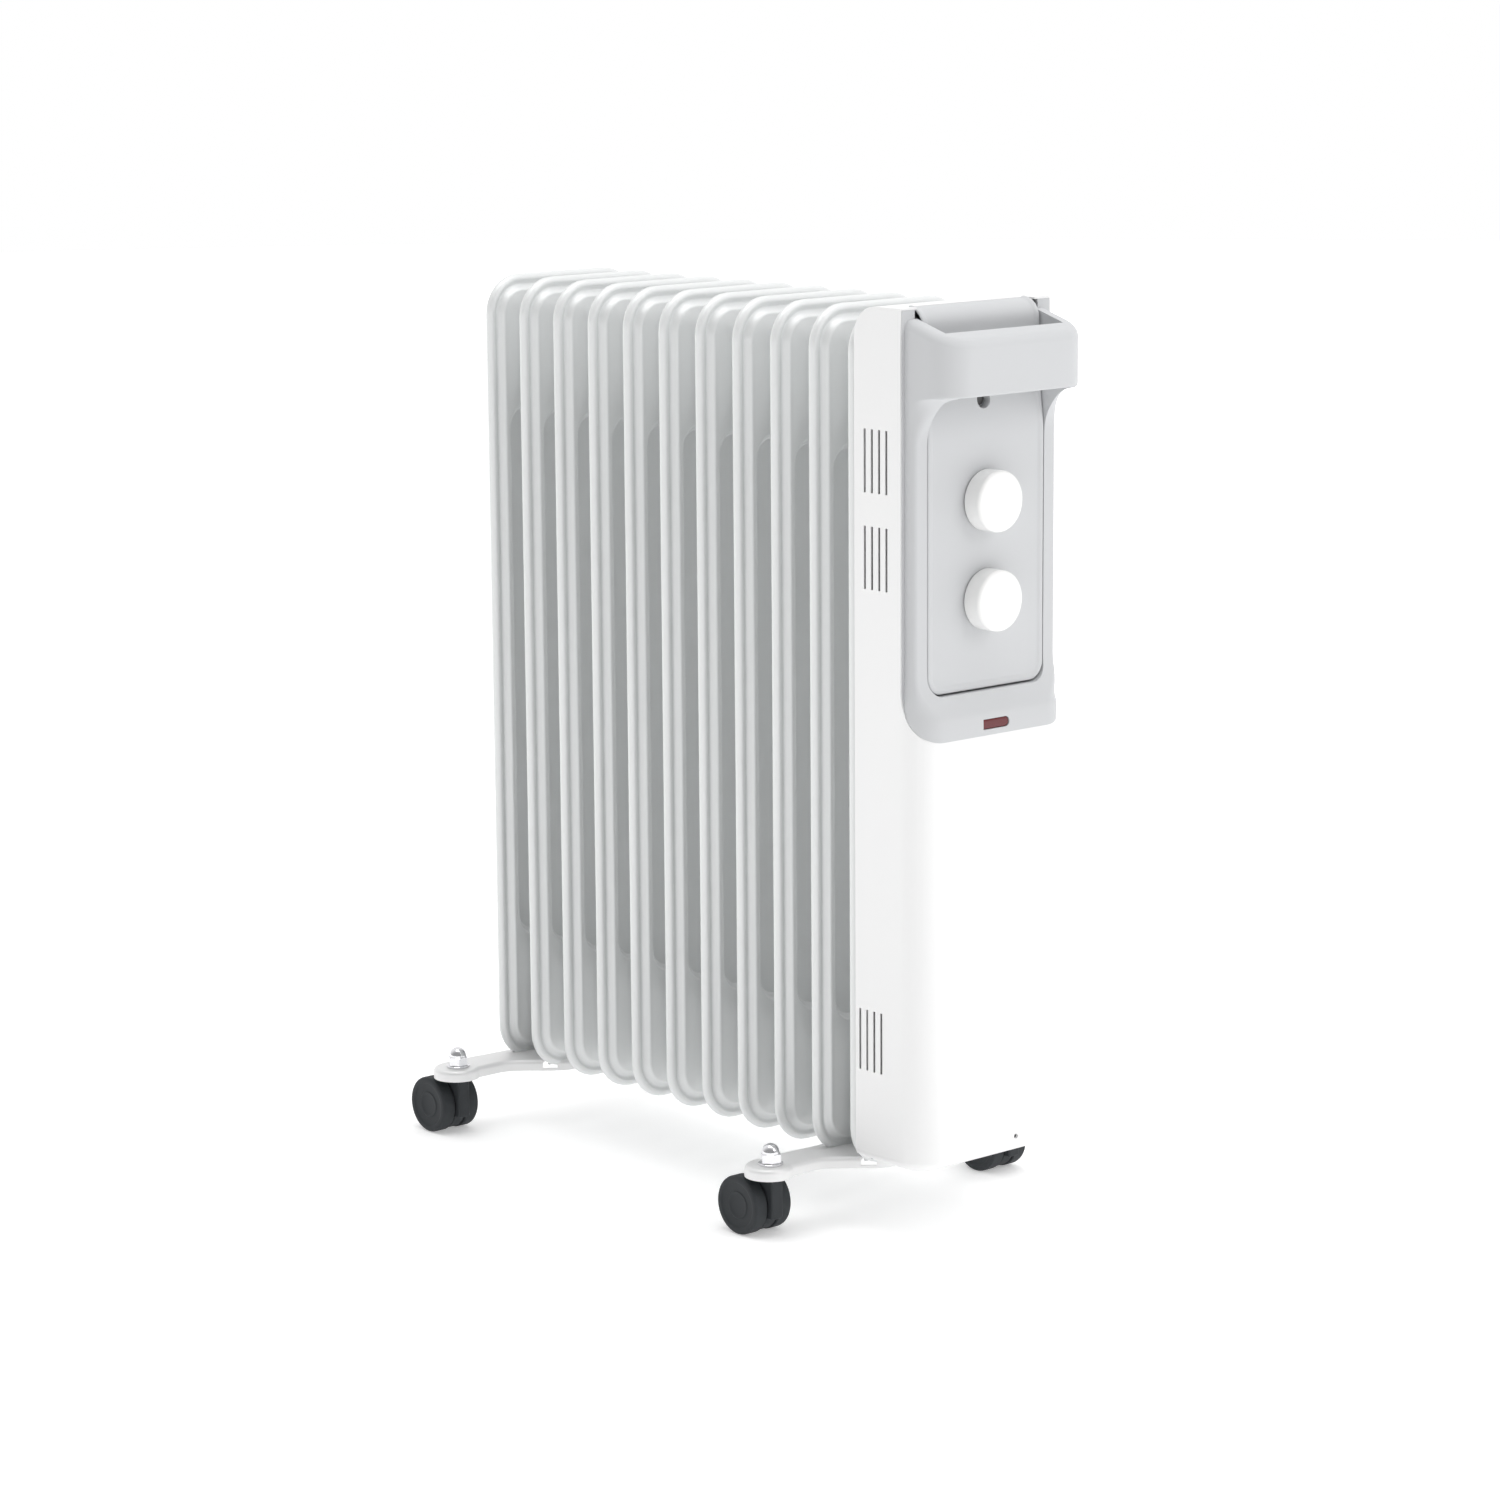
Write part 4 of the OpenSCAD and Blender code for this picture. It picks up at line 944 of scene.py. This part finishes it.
    def build(self, housing: Housing) -> None:
        """Makes the moulding, the handle's back cover and the indicator lens.

        Args:
            housing: The white shell that the moulding is fitted to.
        """
        under = self.skin(self.wall)
        under.carve((Cut.KEEP, Form().block((190 * MM, -90 * MM, 330 * MM), (290 * MM, 90 * MM, 371.8 * MM))))
        cover = Span.of("handle_back_cover")
        pocket = Form().block((230 * MM, cover.low.y - 0.3 * MM, cover.low.z - 0.3 * MM),
                              (251 * MM, cover.high.y + 0.3 * MM, cover.high.z + 0.3 * MM))
        form = self.skin()
        form.carve((Cut.AWAY, self.opening()), (Cut.AWAY, self.well()), (Cut.KEEP, housing.zone(0.3 * MM)),
                   (Cut.AWAY, under), (Cut.AWAY, pocket), (Cut.AWAY, self.window()))
        form.join(self.flange(housing))
        form.piece("fascia_moulding", Slot.GREY_PLASTIC, ROOT, "control_fascia", crease=40, edge=0.5 * MM)
        Form().block(cover.low, cover.high, 0.6 * MM, 2).piece(
            "handle_cover_moulding", Slot.GREY_PLASTIC, ROOT, "handle_back_cover")
        self.build_lens()

    def build_lens(self) -> None:
        """Makes the crowned lens behind the window."""
        lens = Span.of("indicator_lens")
        half_w, half_h = 11.85 * MM, 3.35 * MM
        rings = []
        for inset, x in ((0, -4), (0, -0.9), (0.25, -0.35), (0.8, -0.08), (1.6, 0)):
            w, h = half_w - inset * MM, half_h - inset * MM
            bend = arc((w - h, 0), h, -90, 90, 12)
            rings.append([(lens.high.x + x * MM, y, z + lens.mid.z) for y, z in [(-w, h), (-w, -h), *bend]])
        form = Form().loft(rings)
        form.block((lens.low.x, -half_w - 1.5 * MM, lens.mid.z - 4.8 * MM),
                   (lens.low.x + 1.6 * MM, half_w + 1.5 * MM, lens.mid.z + 4.8 * MM), 0.4 * MM, 2)
        form.piece("indicator_lens_moulding", Slot.LENS_RED, ROOT, "indicator_lens")


@dataclass
class ControlPanel:
    """Grey insert behind the knobs: it bends back behind the handle and rolls over the top."""

    half_w: float = 53.1 * MM
    corner_r: float = 12 * MM
    wall: float = 2.5 * MM
    rim_rise: float = 0.9 * MM

    def __post_init__(self) -> None:
        """Reads the panel's box and works out its side profile."""
        self.span = Span.of("control_panel")
        front = self.span.high.x
        low, top = self.span.low.z + 0.2 * MM, self.span.high.z
        roll_x = self.span.low.x
        back_x = front - 4 * MM
        roll_r = back_x - roll_x
        side = [(front, low), (front, 546 * MM), (front - 0.5 * MM, 552 * MM), (front - 1.4 * MM, 560 * MM),
                (front - 2.4 * MM, 569 * MM), (front - 3.3 * MM, 579 * MM), (back_x, 592 * MM)]
        side += [(roll_x + roll_r * math.cos(a), top - roll_r + roll_r * math.sin(a))
                 for a in (math.radians(t) for t in range(0, 91, 10))]
        self.side = [Vector((x, 0, z)) for x, z in side]

    def along(self, distance: float) -> Tuple[Vector, Vector]:
        """Place and outward direction at a distance up the side profile."""
        left = distance
        for a, b in zip(self.side, self.side[1:]):
            run = (b - a).length
            if left <= run or b is self.side[-1]:
                step = (b - a).normalized()
                return a + step * min(left, run), Vector((step.z, 0, -step.x))
            left -= run
        return self.side[-1], Vector((0, 0, 1))

    def length(self) -> float:
        """Length of the side profile."""
        return sum((b - a).length for a, b in zip(self.side, self.side[1:]))

    def edge_gap(self, y: float, up: float) -> float:
        """Distance from the panel's rounded edge, inwards."""
        r = self.corner_r
        side, foot = self.half_w - abs(y), up
        if side < r and foot < r:
            return r - math.hypot(r - side, r - foot)
        return min(side, foot)

    def relief(self, gap: float) -> float:
        """Height of the face at a distance from the edge: a soft rim, then the flat."""
        r = 1.2 * MM
        fall = r - math.sqrt(r * r - (r - gap) ** 2) if gap < r else 0.0
        rim = self.rim_rise * (1 - ease((gap - 2.4 * MM) / (3.0 * MM)))
        return rim - fall - self.rim_rise * 0.2

    def build(self) -> None:
        """Makes the panel."""
        cross = [0, 0.15, 0.4, 0.8, 1.3, 2.2, 3.0, 3.8, 4.6, 5.6, 8, 12, 18, 26, 36, 46, 53.1]
        ups = [0, 0.15, 0.4, 0.8, 1.3, 2.2, 3.0, 3.8, 4.6, 5.6, 7, 8.6, 10.2, 12, 16, 24]
        total = self.length()
        rest = [between(24 * MM, total, k / 64) for k in range(1, 65)]
        rows = [u * MM for u in ups] + rest
        inwards = [c * MM for c in cross]
        columns = [(-1, c) for c in inwards] + [(1, c) for c in reversed(inwards[:-1])]
        form = Form()
        grid = bmesh.ops.create_grid(form.bm, x_segments=len(columns) - 1, y_segments=len(rows) - 1, size=0.5)
        for vert in grid["verts"]:
            i = round((vert.co.x + 0.5) * (len(columns) - 1))
            j = round((vert.co.y + 0.5) * (len(rows) - 1))
            side, inset = columns[i]
            up = rows[j]
            r = self.corner_r
            room = self.half_w - (r - math.sqrt(max(r * r - (r - up) ** 2, 0.0)) if up < r else 0.0)
            y = side * room * (self.half_w - inset) / self.half_w
            place, out = self.along(up)
            lift = self.relief(max(self.edge_gap(y, up), 0.0))
            vert.co = place + Vector((0, y, 0)) + out * lift
        form.clean()
        if sum(face.normal.x for face in form.bm.faces) < 0:
            bmesh.ops.reverse_faces(form.bm, faces=form.bm.faces)
        bmesh.ops.solidify(form.bm, geom=form.bm.faces[:], thickness=self.wall)
        hole = Span.of("panel_screw").mid
        screw = Form().lathe([(0, 0), (6 * MM, 0), (6 * MM, 40 * MM), (0, 40 * MM)], (200 * MM, 0, hole.z), (1, 0, 0), 40)
        form.carve((Cut.AWAY, screw))
        self.cup(form, hole.z)
        form.piece("control_panel_moulding", Slot.GREY_PLASTIC, ROOT, "control_panel", crease=30)

    def cup(self, form: Form, z: float) -> None:
        """Adds the screw's cup behind the hole."""
        x = self.span.high.x - 10 * MM
        profile = [(2.2 * MM, -0.5 * MM), (7.6 * MM, -0.5 * MM), (7.6 * MM, 6.5 * MM), (6.05 * MM, 6.5 * MM),
                   (6.05 * MM, 1.0 * MM), (2.2 * MM, 1.0 * MM), (2.2 * MM, -0.5 * MM)]
        form.lathe(profile, (x, 0, z), (1, 0, 0), 40)


@dataclass
class Knob:
    """White rotary knob with a bevelled rim."""

    name: str
    body: str
    rim: float = 2.2 * MM

    def build(self) -> None:
        """Makes the knob, hollow behind with a hub on the spindle."""
        span = Span.of(self.name)
        r, depth = span.size.y / 2, span.size.x
        face = [(0, depth), (r * 0.5, depth - 0.03 * MM), (r - self.rim - 1.2 * MM, depth - 0.12 * MM)]
        bend = [(r - self.rim + self.rim * math.sin(math.radians(t)),
                 depth - 0.25 * MM - self.rim * (1 - math.cos(math.radians(t)))) for t in range(0, 91, 15)]
        skirt = [(r, depth * 0.5), (r, 0.6 * MM), (r - 0.5 * MM, 0), (r - 2 * MM, 0), (r - 2.3 * MM, 0.6 * MM),
                 (r - 2.6 * MM, depth - 4.5 * MM), (6 * MM, depth - 4.5 * MM), (6 * MM, 0.4 * MM),
                 (3.05 * MM, 0.4 * MM), (3.05 * MM, depth - 3.6 * MM), (0, depth - 3.6 * MM)]
        form = Form().lathe(face + bend + skirt, (span.low.x, 0, span.mid.z), (1, 0, 0), 72)
        form.piece(f"{self.name}_moulding", Slot.WHITE_PLASTIC, self.body, self.name, crease=40)


# ---------- feet ----------


@dataclass
class Bracket:
    """White pressed foot bracket, an upturned channel with rounded flanges."""

    name: str
    stud_shift: float = -14 * MM
    stud_y: float = 112.5 * MM
    pad_r: float = 17 * MM
    rounding: float = 3.2 * MM
    wall: float = 1.6 * MM
    fin_pitch: float = 38.5 * MM
    slot_half: float = 56 * MM

    def half_outline(self) -> List[Tuple[float, float]]:
        """Outline of the +Y half about the bracket's middle, from its +X side round to its -X side."""
        right, left = 28 * MM, -28 * MM
        neck = self.stud_shift + self.pad_r - 4 * MM
        curve = [(between(right, neck, ease(k / 12)), between(36 * MM, 82 * MM, k / 12)) for k in range(13)]
        lean = math.degrees(math.acos((self.pad_r - 4 * MM) / self.pad_r))
        pad = arc((self.stud_shift, self.stud_y), self.pad_r, -lean, 180, 18)
        left_curve = [(between(self.stud_shift - self.pad_r, left, ease(k / 8)),
                       between(self.stud_y - 8 * MM, 52 * MM, k / 8)) for k in range(9)]
        return [*curve, *pad, *left_curve]

    def build(self) -> None:
        """Makes the bracket with its fin slots."""
        span = Span.of(self.name)
        middle = span.mid.x
        top, skirt = span.high.z, span.size.z
        half = self.half_outline()
        outline = half + [(x, -y) for x, y in reversed(half)]
        form = Form().prism([(middle + x, y, top) for x, y in outline], (0, 0, -skirt))
        form.clean()
        upper = form.edges_where(lambda a, b: abs(a.z - top) + abs(b.z - top) < 0.1 * MM)
        form.bevel([edge for edge in upper if len(edge.link_faces) == 2], self.rounding, 5)
        foot = [face for face in form.bm.faces if abs(face.calc_center_median().z - (top - skirt)) < 0.1 * MM]
        bmesh.ops.delete(form.bm, geom=foot, context="FACES")
        form.thicken(self.wall)
        slots = Form()
        for side in (-1, 1):
            x = middle + side * self.fin_pitch / 2
            slots.block((x - 4 * MM, -self.slot_half, top - 6 * MM), (x + 4 * MM, self.slot_half, top + 6 * MM))
        form.carve((Cut.AWAY, slots))
        form.piece(f"{self.name}_pressing", Slot.BRACKET_PAINT, ROOT, self.name)


@dataclass
class Fasteners:
    """Acorn nuts, washers, clamp bolts and wing nuts."""

    def stud_places(self) -> List[Vector]:
        """Middle of each stud on the brackets' tops."""
        studs = Span.of("caster_studs")
        inset = 7 * MM
        spots = [(x, y) for x in (studs.low.x + inset, studs.high.x - inset)
                 for y in (studs.low.y + inset, studs.high.y - inset)]
        return [Vector((x, y, Span.of("stud_washers").low.z)) for x, y in spots]

    def build(self) -> None:
        """Makes every group of fasteners."""
        washers, nuts = Form(), Form()
        for place in self.stud_places():
            washers.lathe([(4.2 * MM, 0), (8.2 * MM, 0), (8.5 * MM, 0.3 * MM), (8.5 * MM, 1.2 * MM),
                           (8.1 * MM, 1.5 * MM), (4.2 * MM, 1.5 * MM), (4.2 * MM, 0)], place, (0, 0, 1), 40)
            self.acorn(nuts, place + Vector((0, 0, 1.5 * MM)))
        washers.piece("stud_washers_turned", Slot.CHROME, ROOT, "stud_washers")
        nuts.piece("acorn_nuts_turned", Slot.CHROME, ROOT, "acorn_nuts")
        self.wing_nuts()
        for name in ("rear_clamp_bolt", "front_clamp_bolt"):
            self.clamp(name)

    def acorn(self, form: Form, foot: Vector) -> None:
        """Adds a hexagonal nut with a chamfer, a collar and a domed cap."""
        hexagon = Form()
        bmesh.ops.create_cone(hexagon.bm, cap_ends=True, segments=6, radius1=7.5 * MM, radius2=7.5 * MM,
                              depth=6.5 * MM, matrix=Matrix.Translation(foot + Vector((0, 0, 3.25 * MM))))
        round_off = Form().lathe([(0, 0), (7.0 * MM, 0), (7.6 * MM, 0.7 * MM), (7.6 * MM, 5.4 * MM),
                                  (6.4 * MM, 6.5 * MM), (0, 6.5 * MM)], foot, (0, 0, 1), 48)
        hexagon.carve((Cut.KEEP, round_off))
        form.join(hexagon)
        dome = [(6.2 * MM * math.cos(math.radians(t)), 7.0 * MM + 6.2 * MM * math.sin(math.radians(t)))
                for t in range(0, 91, 9)]
        form.lathe([(5.9 * MM, 6.3 * MM), (6.2 * MM, 6.6 * MM), *dome], foot, (0, 0, 1), 40)

    def wing_nuts(self) -> None:
        """Makes the wing nuts under the brackets."""
        span = Span.of("clamp_wing_nuts")
        form = Form()
        for x in (span.low.x + 5.5 * MM, span.high.x - 5.5 * MM):
            for y in (-27 * MM, 27 * MM):
                place = Vector((x, y, span.high.z))
                form.lathe([(3.1 * MM, 0), (4.9 * MM, 0), (5.4 * MM, -0.6 * MM), (5.2 * MM, -5.4 * MM),
                            (4.6 * MM, -6 * MM), (3.1 * MM, -6 * MM), (3.1 * MM, 0)], place, (0, 0, 1), 32)
                for side in (-1, 1):
                    low = place + Vector((-1 * MM, 4.6 * MM, -8 * MM) if side > 0 else (-1 * MM, -12 * MM, -8 * MM))
                    form.block(low, low + Vector((2 * MM, 7.4 * MM, 6 * MM)), 0.9 * MM, 3)
        form.piece("clamp_wing_nuts_cast", Slot.ZINC_STEEL, ROOT, "clamp_wing_nuts")

    def clamp(self, name: str) -> None:
        """Makes one bent clamp bolt from a round wire, with rolled threads at its feet."""
        span = Span.of(name)
        r = 3 * MM
        bend_r = span.size.y / 2 - r
        hub = Vector((span.mid.x, 0, span.high.z - bend_r - r))
        form = Form()
        circle = bmesh.ops.create_circle(form.bm, segments=20, radius=r,
                                         matrix=Matrix.Translation(hub + Vector((0, bend_r, 0))))["verts"]
        rim = list({edge for vert in circle for edge in vert.link_edges})
        bmesh.ops.spin(form.bm, geom=circle + rim, cent=hub, axis=(1, 0, 0), angle=math.pi, steps=28)
        for side in (-1, 1):
            length = hub.z - span.low.z
            thread = [(r, -0.0), (r, -(length - 14 * MM))]
            thread += [(r - (0.35 * MM if k % 2 else 0.0), -(length - 14 * MM + k * 0.5 * MM)) for k in range(1, 27)]
            thread += [(r - 0.6 * MM, -length), (0, -length)]
            form.lathe(thread, hub + Vector((0, side * bend_r, 0)), (0, 0, 1), 20)
        form.piece(f"{name}_wire", Slot.ZINC_STEEL, ROOT, name)


@dataclass
class Caster:
    """Twin-wheel caster: a hood on a swivel pin, with a wheel on each side."""

    corner: str
    wheel_r: float = 20.5 * MM

    def wheel(self, end: str) -> None:
        """Makes one wheel with a dished face, an inner ring and a rounded tread."""
        node = f"{self.corner}_wheel_{end}"
        span = Span.of(node)
        hood = Span.of(f"{self.corner}_hood").mid
        outward = 1 if span.mid.y > hood.y else -1
        depth = span.size.y
        r = self.wheel_r
        profile = [(0, depth - 1.5 * MM), (7 * MM, depth - 1.4 * MM), (7.6 * MM, depth - 0.9 * MM),
                   (9.2 * MM, depth - 0.8 * MM), (9.8 * MM, depth - 1.3 * MM), (15.2 * MM, depth - 1.0 * MM),
                   (16.0 * MM, depth - 0.3 * MM), (16.8 * MM, depth), (18.6 * MM, depth), (19.5 * MM, depth - 0.35 * MM),
                   (20.2 * MM, depth - 1.1 * MM), (r, depth - 2.1 * MM), (r, 0.7 * MM), (r - 0.7 * MM, 0),
                   (2.6 * MM, 0), (2.6 * MM, depth - 2.4 * MM), (0, depth - 2.4 * MM)]
        foot = span.low.y if outward > 0 else span.high.y
        form = Form().lathe(profile, (span.mid.x, foot, r), (0, outward, 0), 64)
        form.piece(f"{node}_moulding", Slot.CASTER_PLASTIC, f"{self.corner}_{end}", node, crease=40)

    def hood(self) -> None:
        """Makes the hood: a barrel between the wheels, a saddle over it and the swivel neck."""
        node = f"{self.corner}_hood"
        span = Span.of(node)
        axle = Span.of(f"{self.corner}_axle").mid
        pin_x = axle.x + 17 * MM
        half_t = span.size.y / 2 if span.size.y < 12 * MM else 5.2 * MM
        barrel_r = self.wheel_r - 0.8 * MM
        barrel = [(2.6 * MM, -half_t), (barrel_r - 0.8 * MM, -half_t), (barrel_r, -half_t + 0.8 * MM),
                  (barrel_r, half_t - 0.8 * MM), (barrel_r - 0.8 * MM, half_t), (2.6 * MM, half_t),
                  (2.6 * MM, -half_t)]
        form = Form().lathe(barrel, (axle.x, axle.y, self.wheel_r), (0, 1, 0), 64)
        top = span.high.z
        form.block((pin_x - 7 * MM, axle.y - half_t + 0.1 * MM, 12.5 * MM),
                   (pin_x + 7 * MM, axle.y + half_t - 0.1 * MM, top - 1 * MM), 1.4 * MM, 3)
        neck = [(3.5 * MM, 41.8 * MM), (7.6 * MM, 41.8 * MM), (8 * MM, 42.2 * MM), (8 * MM, top - 0.5 * MM),
                (7.5 * MM, top), (3.5 * MM, top), (3.5 * MM, 41.8 * MM)]
        form.lathe(neck, (pin_x, axle.y, 0), (0, 0, 1), 40)
        form.piece(f"{node}_moulding", Slot.CASTER_PLASTIC, f"{self.corner}_caster", node, crease=40)

    def build(self) -> None:
        """Makes the whole caster."""
        self.hood()
        for end in ("inner", "outer"):
            self.wheel(end)


# ---------- what stays as it is ----------


def dress_nodes() -> None:
    """Gives every CAD node the finish of its record slot."""
    for part in frame["record"]["subparts"]:
        slot = Slot[part["material_slot"].upper()]
        node = frame["nodes"][part["node"]]
        node.data.materials.clear()
        node.data.materials.append(slot.material())


# ---------- studio ----------


@dataclass(frozen=True)
class Studio:
    """Pale floor, soft lights and the camera."""

    floor_r: float = 9.0
    floor_tone: float = 0.92
    glow_near: float = 0.32
    glow_far: float = 0.6
    camera_at: Tuple[float, float, float] = (2.2527, -1.9872, 0.8791)
    yaw: float = 48.786
    pitch: float = -10.869
    roll: float = -0.42
    lens: float = 104.21

    def floor(self) -> None:
        """Lays a pale round floor."""
        form = Form()
        bmesh.ops.create_circle(form.bm, cap_ends=True, segments=96, radius=self.floor_r)
        made = form.stand_in("studio_floor")
        material = bpy.data.materials.new("studio_floor")
        material.use_nodes = True
        shader = Shader(material.node_tree)
        tone = self.floor_tone
        shade = shader.mix(shader.noise(0.8, 1.0), (tone * 0.995,) * 3, (tone,) * 3)
        away = shader.node("ShaderNodeVectorMath", {"operation": "LENGTH"}, {0: shader.place()}, "Value")
        glow = shader.node("ShaderNodeMapRange", {"interpolation_type": "SMOOTHSTEP"},
                           {"Value": away, "From Min": 0.2, "From Max": 1.6, "To Min": self.glow_near,
                            "To Max": self.glow_far})
        lit = shader.mix(glow, (0.0, 0.0, 0.0), (1.0, 1.0, 1.0))
        shader.surface({"Roughness": 0.8, "Emission Strength": 1.0}, {"Base Color": shade, "Emission Color": lit})
        made.data.materials.append(material)

    def sky(self) -> None:
        """Lights the scene from a white dome that is a little darker on the left."""
        world = bpy.data.worlds.new("studio")
        bpy.context.scene.world = world
        world.use_nodes = True
        shader = Shader(world.node_tree)
        way = shader.node("ShaderNodeTexCoord", {}, {}, "Generated")
        bright = Vector((-0.55, 0.72, 0.42)).normalized()
        lean = shader.node("ShaderNodeVectorMath", {"operation": "DOT_PRODUCT"}, {0: way, 1: bright}, "Value")
        share = shader.node("ShaderNodeMapRange", {"interpolation_type": "SMOOTHSTEP"},
                            {"Value": lean, "From Min": -0.5, "From Max": 0.55, "To Min": 0.36, "To Max": 1.0})
        tint = shader.mix(share, (0.0, 0.0, 0.0), (1.0, 1.0, 1.0))
        shade = shader.node("ShaderNodeBackground", {}, {"Color": tint, "Strength": 1.0})
        shader.end("ShaderNodeOutputWorld", shade)

    def light(self, name: str, place: Point, aim: Point, size: Tuple[float, float], power: float) -> None:
        """Hangs one soft rectangular light."""
        data = bpy.data.lights.new(name, "AREA")
        data.shape = "RECTANGLE"
        data.size, data.size_y = size
        data.energy = power
        made = bpy.data.objects.new(name, data)
        made.location = place
        made.rotation_euler = (Vector(aim) - Vector(place)).to_track_quat("-Z", "Y").to_euler()
        bpy.context.scene.collection.objects.link(made)

    def camera(self) -> None:
        """Stands the camera at the front left of the heater."""
        yaw, pitch = math.radians(self.yaw), math.radians(self.pitch)
        ahead = Vector((-math.sin(yaw) * math.cos(pitch), math.cos(yaw) * math.cos(pitch), math.sin(pitch)))
        right = Vector((math.cos(yaw), math.sin(yaw), 0))
        up = right.cross(ahead)
        turn = Matrix((right, up, -ahead)).transposed() @ Matrix.Rotation(math.radians(self.roll), 3, "Z")
        data = bpy.data.cameras.new("camera")
        data.lens = self.lens
        data.sensor_width = 36.0
        made = bpy.data.objects.new("camera", data)
        made.matrix_world = Matrix.Translation(self.camera_at) @ turn.to_4x4()
        bpy.context.scene.collection.objects.link(made)
        bpy.context.scene.camera = made

    def build(self) -> None:
        """Sets up the studio."""
        bpy.context.scene.view_settings.view_transform = "Standard"
        self.floor()
        self.sky()
        self.light("key", (2.6, 0.9, 1.9), (0.2, 0, 0.3), (1.6, 1.6), 18)
        self.light("overhead", (0.2, -0.2, 2.6), (0, 0, 0.3), (2.2, 1.4), 20)
        self.camera()


def main() -> None:
    """Builds the heater's looks."""
    logging.basicConfig(level=logging.INFO, format="%(message)s")
    Studio().build()
    dress_nodes()
    FinStack().build()
    housing = Housing()
    housing.build()
    Fascia().build(housing)
    ControlPanel().build()
    Knob("thermostat_knob", "thermostat").build()
    Knob("selector_knob", "selector").build()
    Bracket("rear_bracket").build()
    Bracket("front_bracket").build()
    Fasteners().build()
    for corner in CORNERS:
        Caster(corner).build()


if __name__ == "__main__":
    main()
